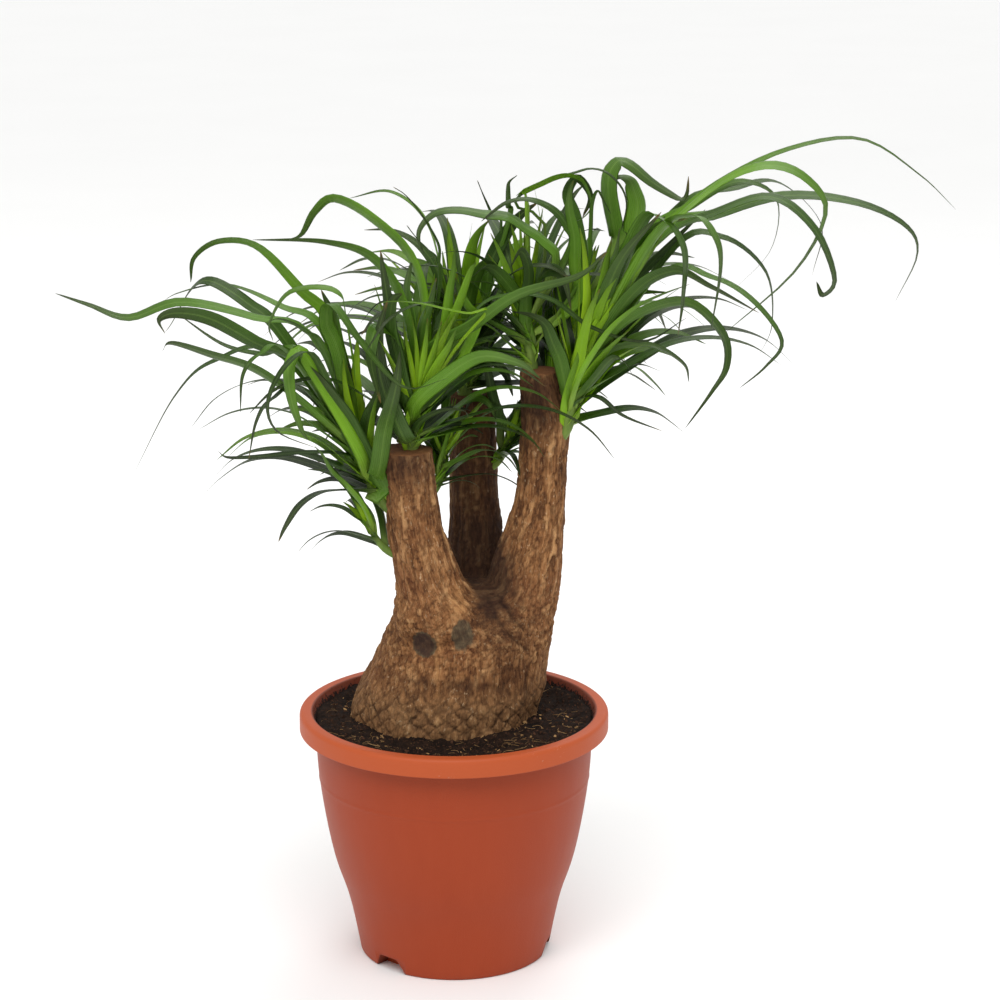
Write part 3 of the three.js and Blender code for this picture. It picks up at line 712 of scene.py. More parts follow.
def barkAt(point, facing):
    # the bark at a point in millimetres: how far it stands out, and its marks for the finish
    lean, middle = leanAt(point)
    grain = point - lean
    low = 1 - eased(point.z, trunkShape["plateTop"] - 16, trunkShape["plateTop"] + 8)
    long = 0.17 + 0.33 * (1 - eased(point.z, 215, 300))
    fibres = Vector((grain.x, grain.y, grain.z * long))
    broadSize, broadRise = trunkShape["broad"]
    fineSize, fineRise = trunkShape["fine"]
    lumpSize, lumpRise = trunkShape["lumps"]
    flakeSize, flakeRise = trunkShape["flakes"]
    grooveWidth, grooveDepth = trunkShape["groove"]
    broad = noise.noise(fibres / broadSize)
    fine = noise.noise(fibres / fineSize + Vector((7, 3, 1)))
    lumps = noise.noise(point / lumpSize + Vector((1, 2, 3)))
    near, seeds = noise.voronoi(fibres / flakeSize + 0.4 * noise.noise_vector(point / 6))
    groove = math.exp(-((near[1] - near[0]) / grooveWidth) ** 2)
    flake = noise.noise(seeds[0] * 3.7)
    crack = plateCracks(point) * low
    rise = broadRise * broad + fineRise * fine + lumpRise * lumps
    rise += (1 - 0.7 * low) * (flakeRise * flake - grooveDepth * groove)
    rise += low * 0.4 - trunkShape["crackDepth"] * crack

    # the scars are flat and a little sunk
    scar = 0.0
    for x, z, halfWidth, halfHeight, darkness in trunkShape["scars"]:
        if point.y < 5:
            edge = math.hypot((point.x - x) / halfWidth, (point.z - z) / halfHeight)
            edge += 0.16 * noise.noise(point / 5) + 0.12 * noise.noise(point / 2)
            inside = 1 - eased(edge, 0.68, 1.12)
            rise -= inside * (0.7 + 0.6 * rise)
            scar = max(scar, inside * (0.5 + 0.5 * darkness))

    crease = 0.0
    if point.y < 12:
        for line in trunkShape["creases"]:
            width = 1.5 + 0.8 * noise.noise(point / 6)
            crease = max(crease, math.exp(-(nearLine(point.x, point.z, line) / width) ** 2))
    rise -= trunkShape["creaseDepth"] * crease

    # the sawn tops stay flat
    sawn = 0.0
    for sections in trunkShape["stems"]:
        top = sections[-1]
        if point.z > top[0] - 2.5 and math.hypot(point.x - top[1], point.y - top[2]) < 1.3 * top[3]:
            sawn = eased(facing.z, 0.5, 0.8)
    rise *= 1 - 0.8 * sawn
    return rise, {"crack": max(crack, 0.75 * crease), "fissure": groove, "flake": flake, "scar": scar,
                  "sawn": sawn, "low": low, "tint": tintAndShadeAt(point, middle), "grain": tuple(grain)}


def barkFinish():
    finish = Finish("bark", **{"Specular IOR Level": 0.15})
    grain = finish.attribute("grain", "Vector")
    place = finish.place()
    low = finish.attribute("low")
    tint = finish.attribute("tint")
    streaks = finish.noise(finish.stretched(grain, (1, 1, 0.16)), 0.34, 6, 0.7)
    threads = finish.noise(finish.stretched(grain, (1, 1, 0.08)), 1.3, 5, 0.7)
    mottle = finish.noise(place, 120, 6, 0.68)
    patches = finish.noise(place, 19, 3, 0.5)
    flake = finish.attribute("flake")
    tones = 0.4 * streaks + 0.3 * mottle + 0.15 * patches + 0.14 * flake + 0.075
    paint = finish.ramp(tones, (0.32, colour(62, 36, 20)), (0.43, colour(114, 74, 44)),
                        (0.52, colour(156, 108, 67)), (0.63, colour(202, 154, 104)))
    reddish = finish.blend(patches.step(0.5, 0.72) * 0.4, paint, colour(112, 62, 38))
    plates = finish.blend(mottle, colour(104, 74, 46), colour(166, 128, 88))
    paint = finish.blend(low * 0.55, reddish, plates)
    lightThreads = threads.step(0.55, 0.68)
    paint = finish.blend(lightThreads * 0.5, paint, colour(200, 158, 112))
    darkThreads = 1 - threads.step(0.34, 0.47)
    paint = finish.blend(darkThreads * 0.6 * (1 - 0.5 * low), paint, colour(52, 30, 19))
    flecks = finish.noise(finish.stretched(place, (1, 1, 0.5)), 520, 3, 0.6).step(0.6, 0.68)
    paint = finish.blend(flecks * mottle.step(0.42, 0.6) * 0.6, paint, colour(218, 186, 146))
    paint = finish.blend(finish.attribute("fissure") * 0.5, paint, colour(48, 28, 18))
    crack = finish.attribute("crack") * mottle.step(0.2, 0.6)
    paint = finish.blend(crack * 0.85, paint, colour(42, 25, 16))
    # the tint marks: lighter patches, and darker ones that also carry the painted shade on the middle stem
    # and where the stems part
    light = tint.maths("MAXIMUM", tint, 0.0)
    dark = (0 - tint).maths("MAXIMUM", 0 - tint, 0.0)
    paint = finish.blend(light * streaks.step(0.25, 0.6) * 0.55, paint, colour(206, 152, 96))
    paint = finish.blend(dark.maths("MINIMUM", dark, 1.0) * 0.84, paint, colour(40, 26, 22))
    scar = finish.attribute("scar")
    scarTones = 0.5 * mottle + 0.5 * streaks
    scarPaint = finish.ramp(scarTones, (0.36, colour(46, 38, 34)), (0.62, colour(96, 88, 68)))
    deepScar = finish.blend(scar.step(0.7, 1.0), scarPaint, colour(50, 40, 38))
    paint = finish.blend(scar.step(0.1, 0.6) * 0.84, paint, deepScar)
    sawnPaint = finish.blend(finish.noise(place, 240, 5, 0.7), colour(84, 48, 30), colour(156, 108, 70))
    paint = finish.blend(finish.attribute("sawn"), paint, sawnPaint)
    roughness = 0.78 + 0.14 * mottle
    relief = 0.8 * streaks + 0.7 * threads + 0.9 * mottle
    return finish.done(paint, roughness, relief, 0.0014)


def buildTrunk():
    bodies = [grown(trunkShape["base"], 6, 96)] + [grown(stem, 6, 72) for stem in trunkShape["stems"]]
    points, faces = [], []
    for bodyPoints, bodyFaces in bodies:
        faces += [tuple(len(points) + i for i in face) for face in bodyFaces]
        points += bodyPoints
    carrier = bpy.data.objects.new("trunk_bark", meshOf("trunk_bark", points, faces))
    rebuilt = carrier.modifiers.new("rebuilt", "REMESH")
    rebuilt.mode = "VOXEL"
    rebuilt.voxel_size = trunkShape["grid"] * mm
    softened = carrier.modifiers.new("softened", "SMOOTH")
    softened.factor, softened.iterations = trunkShape["softening"]
    mesh = baked(carrier)
    marks = {}
    moved = []
    for vertex in mesh.vertices:
        rise, found = barkAt(vertex.co / mm, vertex.normal)
        moved.extend(vertex.co + vertex.normal * rise * mm)
        for name, value in found.items():
            marks.setdefault(name, []).append(value)
    mesh.vertices.foreach_set("co", moved)
    for name, values in marks.items():
        mark(mesh, name, values, "FLOAT_VECTOR" if name == "grain" else "FLOAT")
    mesh.materials.clear()
    mesh.materials.append(barkFinish())
    mesh.shade_smooth()
    return settle(mesh, "trunk")


buildTrunk()


soilShape = {
    "level": 189,
    "edge": 107.6,
    "rings": 70,
    "facets": 180,
    "lump": 1.3,
    "dip": (4.5, -5, -55, 40),     # depth, middle x and y, and reach of the hollow in front of the trunk
    "crumb": 1.9,
    "bank": (3.6, 92, 106),        # how far the soil is heaped against the wall, and from where to where
    "below": [(105.3, 182), (103.8, 150), (96.3, 100), (81.3, 50), (71.8, 3.4)],
    "socket": 1.0,                 # how far the soil reaches into the bark
    "notchRoom": 0.4,              # and how far it stays off the plastic over the notches
}


def soilTop(x, y):
    # height of the soil at a place: long waves, a hollow in front of the trunk, and loose crumbs
    waves = math.sin(x / 9 + y / 14) + math.sin(y / 8 - x / 17)
    dip, dipX, dipY, reach = soilShape["dip"]
    hollow = math.exp(-((x - dipX) ** 2 + (y - dipY) ** 2) / reach ** 2)
    place = Vector((x, y, 0))
    crumbs = noise.noise(place / 6) + 0.6 * noise.noise(place / 2.6) + 0.35 * noise.noise(place / 1.3)
    height = soilShape["lump"] * waves / 2 - dip * hollow + soilShape["crumb"] * crumbs
    heap, near, far = soilShape["bank"]
    bank = heap * eased(math.hypot(x, y), near, far) * (0.8 + 0.5 * noise.noise(place / 14))
    return soilShape["level"] + height + bank


def soilFinish():
    finish = Finish("pottingSoil", **{"Specular IOR Level": 0.12})
    place = finish.place()
    grit = finish.noise(place, 420, 6, 0.7)
    clods = finish.noise(place, 90, 3, 0.5)
    paint = finish.ramp(0.6 * grit + 0.4 * clods, (0.36, colour(12, 8, 6)), (0.5, colour(31, 20, 14)),
                        (0.64, colour(50, 34, 24)), (0.78, colour(90, 62, 42)))
    return finish.done(paint, 0.86 + 0.1 * clods, grit + 0.5 * clods, 0.0012)


def buildSoil():
    facets = soilShape["facets"]
    points = [(0, 0, soilTop(0, 0))]
    rings = [(soilShape["edge"] * k / soilShape["rings"], None) for k in range(1, soilShape["rings"] + 1)]
    rings += soilShape["below"]
    for radius, height in rings:
        for i in range(facets):
            angle = 2 * math.pi * i / facets
            x, y = radius * math.cos(angle), radius * math.sin(angle)
            points.append((x, y, height or soilTop(x, y)))
    points.append((0, 0, soilShape["below"][-1][1]))
    faces = []
    rows = len(rings)
    for i in range(facets):
        j = (i + 1) % facets
        faces.append((0, 1 + i, 1 + j))
        for row in range(rows - 1):
            a = 1 + row * facets
            faces.append((a + j, a + i, a + facets + i, a + facets + j))
        last = 1 + (rows - 1) * facets
        faces.append((len(points) - 1, last + j, last + i))
    mesh = meshOf("soil_bed", points, faces, material=soilFinish())
    # the swollen base sits in a socket, a millimetre inside the bark, and the notches stay clear
    steps = [("DIFFERENCE", solidOf("socket", grown(trunkShape["base"], 3, 72, -soilShape["socket"])))]
    room = potShape["wall"] + soilShape["notchRoom"]
    for index in range(potShape["notches"]["count"]):
        steps.append(("DIFFERENCE", solidOf(f"clear{index}", notchBar(index, room))))
    return settle(carved("soil_bed", mesh, steps), "soil")


soilBed = buildSoil()


litter = {
    "crumbs": {"density": 90000.0, "size": (0.5, 1.9), "seed": 11},
    "clods": {"density": 9000.0, "size": (1.8, 4.2), "seed": 13},
    "fibres": {"gathered": True, "density": 9000.0, "size": (4.0, 13.0), "seed": 23, "thickness": 0.02},
    "chips": {"gathered": True, "density": 6500.0, "size": (1.4, 5.0), "seed": 37},
    "within": (180, 105),          # litter lies above this height and inside this radius
    "bare": 0.3,                   # share of the fibres and chips that lie outside the thick places
    # where fibres and chips lie thick: middle x and y, and radius
    "thick": [(62, -62, 34), (-70, -66, 30), (88, -20, 22), (0, -96, 30), (40, -84, 26)],
}


def openSoil(gathered):
    # the bare soil between the trunk and the rim, as the ground that litter is scattered on
    points = [vertex.co / mm for vertex in soilBed.data.vertices]
    lowest, furthest = litter["within"]
    faces = []
    for face in soilBed.data.polygons:
        middle = face.center / mm
        if face.normal.z > 0.3 and middle.z > lowest and math.hypot(middle.x, middle.y) < furthest:
            faces.append(tuple(face.vertices))
    ground = meshOf("open_soil", points, faces)
    share = []
    for point in points:
        near = [math.exp(-((point.x - x) ** 2 + (point.y - y) ** 2) / radius ** 2)
                for x, y, radius in litter["thick"]]
        share.append(min(1.0, litter["bare"] + max(near)) if gathered else 1.0)
    mark(ground, "share", share)
    return ground


def litterFinish(name, dark, pale, gloss=0.1):
    finish = Finish(name, **{"Specular IOR Level": gloss})
    place = finish.place()
    each = finish.noise(place, 70, 2)
    grit = finish.noise(place, 900, 4, 0.7)
    paint = finish.ramp(0.7 * each + 0.3 * grit, (0.35, dark), (0.65, pale))
    return finish.done(paint, 0.8 + 0.15 * grit, grit, 0.0004)


def litterGrowth(name, **more):
    # a tree for one kind of litter, with the inputs that all of them have
    return Growth(name, density="Float", smallest="Float", largest="Float", **more, seed="Int",
                  material="Material")


def scattered(growth, shape, flat=1.0):
    # the shape, dropped at random on the ground and turned every way
    thick = growth.given("density") * growth.named("share")
    ground = {"Mesh": growth.given("Geometry"), "Density": thick, "Seed": growth.given("seed")}
    points = growth.add("GeometryNodeDistributePointsOnFaces", None, ground, "Points")
    turn = growth.drawn((0, 0, 0), (6.28 * flat, 6.28 * flat, 6.28), 1, "FLOAT_VECTOR")
    turned = growth.add("FunctionNodeEulerToRotation", None, {"Euler": turn})
    values = {"Points": points, "Instance": shape, "Rotation": turned}
    # each is stretched in its own way
    stretch = growth.drawn((0.7, 0.35, 0.6), (1.0, 1.0, 1.0), 3, "FLOAT_VECTOR")
    length = growth.drawn(growth.given("smallest"), growth.given("largest"), 2)
    size = growth.add("ShaderNodeVectorMath", {"operation": "SCALE"}, {0: stretch, "Scale": length})
    return growth.done(growth.add("GeometryNodeInstanceOnPoints", None, {**values, "Scale": size}))


def crumbGrowth():
    growth = litterGrowth("soilCrumbs")
    ball = growth.add("GeometryNodeMeshIcoSphere", None, {"Radius": 0.5, "Subdivisions": 1})
    rough = growth.drawn((-0.17, -0.17, -0.17), (0.17, 0.17, 0.17), 5, "FLOAT_VECTOR")
    lump = growth.add("GeometryNodeSetPosition", None, {"Geometry": ball, "Offset": rough})
    return scattered(growth, lump)


def fibreGrowth():
    growth = litterGrowth("soilFibres", thickness="Float")
    bow = {"Resolution": 7, "Start": (-0.5, 0, 0), "Middle": (0.1, 0.55, 0.12), "End": (0.5, -0.05, 0.2)}
    curl = growth.add("GeometryNodeCurveQuadraticBezier", None, bow)
    thread = {"Resolution": 4, "Radius": growth.given("thickness")}
    section = growth.add("GeometryNodeCurvePrimitiveCircle", None, thread)
    values = {"Curve": curl, "Profile Curve": section, "Fill Caps": True}
    strand = growth.add("GeometryNodeCurveToMesh", None, values)
    return scattered(growth, strand, 0.07)


def chipGrowth():
    growth = litterGrowth("soilChips")
    block = {"Size": (1.0, 0.55, 0.22), "Vertices X": 3, "Vertices Y": 2, "Vertices Z": 2}
    slab = growth.add("GeometryNodeMeshCube", None, block)
    rough = growth.drawn((-0.09, -0.09, -0.05), (0.09, 0.09, 0.05), 5, "FLOAT_VECTOR")
    chip = growth.add("GeometryNodeSetPosition", None, {"Geometry": slab, "Offset": rough})
    return scattered(growth, chip, 0.12)


def buildLitter():
    crumb = litterFinish("soilCrumb", colour(24, 15, 11), colour(86, 59, 44))
    fibre = litterFinish("soilFibre", colour(74, 50, 32), colour(196, 156, 106))
    chip = litterFinish("soilChip", colour(60, 38, 25), colour(190, 150, 100))
    for kind, growth, material in (("crumbs", crumbGrowth(), crumb), ("clods", crumbGrowth(), crumb),
                                   ("fibres", fibreGrowth(), fibre), ("chips", chipGrowth(), chip)):
        values = litter[kind]
        low, high = values["size"]
        mesh = growth.applied(f"soil_{kind}", openSoil("gathered" in values), density=values["density"],
                              smallest=low * mm, largest=high * mm, seed=values["seed"],
                              thickness=values.get("thickness"), material=material)
        settle(mesh)


buildLitter()


viewpoint = Vector((36, -2231, 960.5))       # listed leaf points are as seen from here
upwards = Vector((0, 0, 1))

# Each shoot: the middle line of its short stem, the thickness of that stem, the usual width of its leaves,
# the leaves that show from in front, as [width seen, depths at root, middle and tip, points (x, z), age],
# more such leaves as [age, width seen, place on the stem, depths, points],
# and the leaves that fill it out all round, with how many more stand between them.
# A high age paints a leaf dark, and on leaves deep in the crown it stands for painted shade.
shoots = [
    {
        "name": "shoot_left_top",
        "stem": [[-33, -14, 399], [-31, -15, 416], [-29, -17, 434], [-27, -18, 452]],
        "radius": 8.5,
        "width": 11,
        "seen": [
            [7, [-20, -12, -5],
                [[-22, 500], [-30, 553], [-60, 585], [-88, 600], [-103, 590], [-113, 573], [-123, 569]]],
            [7, [-28, -35, -40], [[-35, 510], [-58, 553], [-95, 567], [-150, 569]]],
            [11, [-35, -75, -95], [[-30, 440], [-10, 460], [20, 479], [50, 474], [67, 462]], 0.5],
            [9, [-30, -55, -50], [[-20, 480], [15, 503], [50, 527], [95, 541], [117, 560]], 0.5],
            [4, [-26, -30, -35], [[15, 510], [45, 527], [75, 523], [105, 502], [145, 491], [177, 509]]],
            [3, [-30, -52, -62], [[-25, 428], [-8, 437], [8, 437], [12, 431]]],
            [12, [-32, -62, -72], [[-42, 488], [-58, 500], [-62, 476], [-55, 443]], 0.5],
            [7, [-24, -26, -24], [[-24, 495], [-17, 520], [-12, 540]]],
            [8, [-24, -20, -15], [[-31, 500], [-35, 530], [-30, 556]]],
            [7, [-26, -40, -48], [[-14, 485], [2, 512], [14, 545], [18, 552]], 0.15],
            [9, [-30, -48, -60], [[-40, 470], [-47, 500], [-45, 522], [-38, 528]]],
        ],
        "also": [
            [0.0, 4, 0.8, [-30, -40, -44], [[-28, 449], [-32, 475], [-35, 491], [-37, 504]]],
            [0.0, 4, 0.9, [-32, -44, -50], [[-26, 453], [-27, 475], [-28, 492], [-31, 511]]],
            [0.0, 5.5, 0.95, [-34, -48, -54], [[-24, 455], [-22, 475], [-20, 492], [-19, 509]]],
            [0.0, 5.5, 0.9, [-34, -48, -54], [[-22, 456], [-16, 477], [-12, 491], [-8, 507]]],
            [0.25, 7.5, 0.7, [-34, -52, -60], [[-20, 455], [-11, 473], [-3, 487], [3, 501]]],
            [0.1, 4, 0.1, [-34, -46, -52], [[-37, 416], [-33, 436], [-30, 453], [-33, 475], [-38, 492]]],
            [0.3, 8.5, 0.6, [-24, -30, -34],
                [[-17, 457], [-7, 488], [-4, 509], [-2, 529], [1, 546], [2, 563]]],
            [0.2, 7.5, 0.8, [-20, -22, -24], [[-2, 465], [18, 504], [11, 519], [5, 531], [2, 541]]],
            [0.9, 12.5, 0.3, [-34, -52, -58],
                [[-37, 414], [-46, 436], [-54, 459], [-57, 483], [-55, 503], [-49, 523]]],
            [0.8, 10, 0.5, [-30, -44, -52],
                [[-36, 445], [-42, 477], [-47, 500], [-49, 523], [-52, 544], [-54, 561]]],
            [0.8, 2, 0.6, [-24, -28, -30],
                [[-12, 523], [-10, 552], [-10, 564], [-16, 577], [-25, 591], [-35, 603], [-44, 609]]],
            [0.8, 1.5, 0.5, [-26, -30, -34], [[-9, 531], [-11, 554], [-20, 563], [-28, 572], [-34, 580]]],
            [0.15, 2.5, 0.7, [-44, -60, -66],
                [[2, 484], [27, 515], [13, 513], [-4, 516], [-21, 520], [-40, 522], [-53, 521], [-59, 516]]],
        ],
        "fill": {"count": 11, "length": 200, "facing": 80, "spread": 250, "lean": [18, 72], "sag": 0.3},
    },
    {
        "name": "shoot_left_side",
        "stem": [[-42, -12, 359], [-56, -13, 372], [-65, -15, 392], [-71, -17, 414]],
        "radius": 8,
        "width": 11,
        "seen": [
            [7, [-28, -40, -50],
                [[-105, 490], [-150, 509], [-205, 521], [-245, 509], [-275, 519], [-300, 528]]],
            [11, [-40, -66, -84],
                [[-115, 470], [-150, 490], [-182, 508], [-208, 513], [-222, 508], [-218, 497]]],
            [4, [-12, 6, 12], [[-110, 478], [-145, 481], [-175, 489], [-209, 513]]],
            [6, [-48, -84, -98], [[-118, 445], [-148, 468], [-180, 479], [-210, 488], [-217, 482]]],
            [3, [-4, 8, 18], [[-130, 481], [-180, 477], [-210, 450], [-242, 391]]],
            [5, [-8, 14, 28], [[-88, 500], [-112, 533], [-142, 567], [-170, 572], [-188, 560], [-190, 541]]],
            [6, [4, 26, 40], [[-130, 495], [-155, 520], [-182, 537], [-197, 531], [-212, 506], [-218, 498]]],
            [2.5, [12, 44, 64], [[-92, 497], [-122, 520], [-160, 538], [-195, 533], [-210, 523]]],
            [3, [-34, -54, -60], [[-97, 482], [-112, 499], [-130, 508], [-143, 505]]],
            [9, [-14, -4, 4], [[-86, 490], [-89, 512], [-96, 532]]],
            [4, [-30, -62, -72], [[-75, 500], [-80, 529], [-112, 527], [-128, 502], [-124, 487]]],
            [4, [-30, -84, -92],
                [[-88, 436], [-100, 457], [-118, 484], [-140, 474], [-154, 447], [-148, 424], [-118, 409]]],
            [2.5, [-56, -104, -112], [[-118, 478], [-135, 478], [-145, 462], [-147, 432]]],
            [2.5, [-40, -72, -80], [[-112, 452], [-140, 447], [-153, 430], [-160, 400]]],
            [4, [-22, -36, -44], [[-82, 402], [-115, 404], [-145, 401], [-172, 400], [-180, 405]]],
            [6, [-20, -34, -30], [[-76, 500], [-72, 525], [-74, 556], [-86, 556], [-113, 533], [-127, 529]]],
            [6, [-36, -66, -88], [[-84, 480], [-92, 504], [-86, 519], [-62, 488], [-30, 456], [5, 464]]],
        ],
        "also": [
            [0.9, 11.0, 0.75, [-18, -38, -44],
                [[-62, 389], [-67, 414], [-63, 434], [-56, 449], [-52, 469], [-53, 488]]],
            [0.95, 12.5, 0.7, [-17, -34, -40], [[-58, 386], [-52, 422], [-46, 444], [-42, 463], [-40, 483]]],
            [0.9, 9.0, 0.9, [-16, -22, -24], [[-67, 400], [-75, 436], [-78, 456], [-79, 475]]],
            [0.0, 9.0, 0.95, [-26, -34, -36], [[-64, 402], [-72, 439], [-74, 461], [-73, 481], [-72, 495]]],
            [0.05, 6.0, 0.95, [-30, -40, -42], [[-70, 406], [-78, 436], [-82, 459], [-83, 478]]],
            [0.95, 15.0, 0.5, [-18, -40, -52],
                [[-57, 376], [-71, 406], [-82, 430], [-94, 449], [-103, 463], [-111, 473]]],
            [0.75, 9.0, 0.6, [-17, -36, -46], [[-59, 382], [-75, 414], [-86, 438], [-96, 458], [-103, 475]]],
            [0.8, 6.0, 0.85, [-12, -10, -8], [[-74, 408], [-89, 423], [-102, 435], [-114, 443]]],
            [0.5, 8.5, 0.9, [-20, -40, -46],
                [[-67, 392], [-77, 420], [-84, 449], [-87, 477], [-88, 500], [-90, 518]]],
            [0.45, 10.0, 0.5, [-32, -80, -88],
                [[-65, 396], [-79, 424], [-103, 465], [-116, 484], [-124, 475], [-125, 461], [-123, 445],
                 [-119, 431], [-115, 420], [-111, 414]]],
        ],
        "fill": {"count": 9, "length": 190, "facing": 130, "spread": 220, "lean": [20, 75], "sag": 0.3},
    },
    {
        "name": "shoot_left_low",
        "stem": [[-36, -10, 322], [-51, -12, 330], [-60, -13, 341], [-66, -14, 354]],
        "radius": 5,
        "width": 7.5,
        "seen": [
            [6, [-20, -30, -42], [[-72, 388], [-88, 398], [-108, 394], [-124, 373], [-125, 346]]],
            [5, [-12, 0, 5], [[-78, 374], [-95, 388], [-112, 391]]],
            [5, [-18, -8, 4], [[-80, 384], [-100, 406], [-120, 424]]],
            [3, [-28, -46, -54], [[-84, 392], [-108, 410], [-122, 403], [-131, 384]]],
        ],
        "also": [
            [0.7, 4.0, 0.5, [-14, -18, -20],
                [[-66, 357], [-78, 374], [-91, 390], [-99, 401], [-108, 408], [-117, 409],
                 [-124, 403], [-129, 395], [-131, 386]]],
            [0.6, 4.5, 0.6, [-18, -26, -34], [[-63, 354], [-76, 371], [-87, 384], [-96, 395], [-104, 397]]],
            [0.75, 5.5, 0.3, [-8, -8, -8], [[-55, 354], [-63, 373], [-75, 389], [-86, 397], [-101, 397]]],
            [0.5, 4.0, 0.7, [-20, -28, -36], [[-70, 362], [-82, 378], [-93, 389], [-100, 402], [-106, 409]]],
        ],
        "fill": {"count": 4, "length": 90, "facing": 150, "spread": 200, "lean": [25, 75], "sag": 0.3},
    },
    {
        "name": "shoot_left_back",
        "stem": [[-22, -6, 366], [-11, 2, 380], [-7, 8, 396], [-5, 12, 412]],
        "radius": 5,
        "width": 8,
        "seen": [
            [6, [10, -6, -14], [[2, 432], [14, 446], [26, 444], [33, 430]]],
            [5, [12, 8, 2], [[-2, 440], [-6, 458], [-14, 466]]],
        ],
        "fill": {"count": 7, "length": 110, "facing": 60, "spread": 260, "lean": [20, 80], "sag": 0.3},
    },
    {
        "name": "shoot_middle_top",
        "stem": [[9, 57, 425], [8, 56, 443], [6, 54, 461], [4, 52, 480]],
        "radius": 8.5,
        "width": 11,
        "seen": [
            [3, [44, 34, 24], [[-8, 545], [-20, 585], [-45, 605], [-75, 600]]],
            [8.5, [50, 44, 48],
                [[9, 508], [6, 531], [4, 552], [4, 572], [5, 589], [7, 599], [11, 601], [16, 595],
                 [19, 583], [21, 565]]],
            [9, [46, 50, 54], [[2, 530], [8, 552], [20, 572]]],
            [12, [50, 50, 44], [[24, 519], [28, 547], [35, 564], [44, 579], [54, 590], [64, 597]]],
            [10, [40, 22, 14], [[10, 505], [16, 535], [26, 552], [38, 546]]],
            [9, [46, 30, 18], [[-8, 520], [-18, 545], [-32, 556], [-46, 548]]],
        ],
        "also": [
            [0.1, 10, 0.8, [44, 34, 30], [[19, 515], [13, 537], [13, 552], [16, 566], [21, 576], [28, 584]]],
            [0.7, 5.5, 0.3, [38, 26, 16], [[51, 531], [60, 548], [47, 546], [36, 544], [21, 545], [4, 544]]],
            [0.8, 2, 0.5, [50, 46, 42], [[36, 573], [29, 590], [26, 597], [23, 604], [19, 614]]],
            [0.8, 4, 0.7, [56, 56, 56], [[41, 580], [42, 595], [42, 607], [43, 613], [49, 618]]],
            [0.95, 10, 0.4, [52, 56, 58], [[20, 478], [32, 476], [41, 465], [46, 448]]],
            [1.0, 11, 0.6, [58, 62, 64], [[16, 486], [28, 502], [36, 518], [38, 534]]],
            [0.95, 10, 0.8, [54, 54, 52], [[18, 492], [32, 502], [46, 504], [57, 496]]],
        ],
        "fill": {"count": 18, "length": 220, "facing": 100, "spread": 300, "lean": [14, 74], "sag": 0.28},
    },
    {
        "name": "shoot_middle_side",
        "stem": [[22, 53, 374], [34, 48, 384], [41, 46, 396], [45, 45, 410]],
        "radius": 4.5,
        "width": 7.5,
        "seen": [
            [5, [40, 34, 28], [[58, 440], [66, 452], [72, 446]]],
        ],
        "also": [
            [0.95, 9, 0.6, [44, 42, 40], [[38, 431], [41, 449], [42, 467], [38, 484], [31, 498]]],
            [1.0, 8, 0.9, [44, 40, 36], [[36, 430], [31, 445], [28, 461], [25, 478], [27, 494]]],
            [0.9, 6, 0.5, [42, 38, 34], [[36, 438], [26, 444], [19, 447], [13, 444], [9, 436]]],
            [1.0, 8, 0.95, [48, 50, 52], [[44, 428], [52, 440], [58, 454], [60, 470]]],
        ],
        "fill": {"count": 6, "length": 85, "facing": 60, "spread": 320, "lean": [20, 75], "sag": 0.3},
    },
    {
        "name": "shoot_right_front",
        "stem": [[77, 5, 410], [87, -1, 426], [91, -3, 446], [96, -5, 466]],
        "radius": 8.5,
        "width": 12,
        "seen": [
            [4, [6, 22, 30],
                [[130, 555], [160, 580], [200, 612], [250, 637], [305, 645], [350, 618], [378, 592]]],
            [7, [-18, -36, -42],
                [[135, 548], [170, 585], [205, 614], [238, 625], [265, 615], [280, 590], [258, 545],
                 [206, 497]]],
            [4, [18, 34, 40], [[140, 562], [180, 595], [215, 613], [243, 600], [240, 562], [212, 530]]],
            [6, [-6, -48, -62],
                [[150, 560], [200, 590], [240, 601], [272, 577], [288, 540], [280, 527], [275, 537]]],
            [2.5, [28, 48, 55], [[170, 582], [225, 605], [260, 607], [293, 575], [288, 536]]],
            [6, [2, -8, -14],
                [[150, 565], [200, 588], [250, 602], [303, 597], [340, 580], [350, 558], [335, 522]]],
            [7, [-30, -56, -62], [[130, 520], [165, 545], [195, 533], [232, 513]]],
            [4, [-14, -66, -76], [[155, 540], [195, 539], [225, 521], [247, 490], [235, 470], [215, 453]]],
            [7, [-26, -62, -74],
                [[116, 492], [140, 512], [172, 518], [197, 493], [200, 468], [188, 448], [167, 420]]],
            [5, [-12, -24, -30], [[106, 468], [120, 484], [150, 488], [175, 474], [180, 459]]],
            [4, [-8, -18, -26], [[98, 446], [112, 447], [130, 433], [160, 421]]],
            [2.5, [4, 12, 18], [[112, 466], [140, 473], [158, 468]]],
            [4, [-22, -40, -46], [[108, 462], [122, 478], [132, 473], [138, 462]]],
            [5, [-38, -66, -72], [[138, 572], [158, 584], [174, 562], [174, 525], [171, 496]]],
            [5, [-44, -76, -84], [[150, 566], [180, 587], [197, 572], [202, 548], [196, 500]]],
            [3, [16, 26, 30], [[165, 560], [203, 571], [236, 545], [242, 505], [233, 480]]],
            [12, [-22, -34, -24],
                [[89, 457], [89, 484], [87, 511], [81, 534], [72, 554], [62, 569], [50, 579], [36, 584],
                 [24, 579], [17, 568]]],
            [9, [12, 28, 34],
                [[98, 500], [97, 550], [92, 585], [86, 604], [94, 616], [104, 602], [98, 586]]],
            [8, [-16, -40, -50], [[112, 530], [122, 555], [126, 578]]],
            [9, [-4, -22, -30], [[124, 535], [150, 570], [160, 587]]],
            [9, [10, 14, 12], [[122, 515], [145, 545], [190, 592]]],
            [11, [-26, -50, -60], [[112, 515], [128, 555], [157, 590]]],
        ],
        "also": [
            [0.0, 7, 0.5, [-8, -24, -30],
                [[89, 447], [95, 477], [100, 501], [102, 524], [101, 546], [99, 564], [96, 578]]],
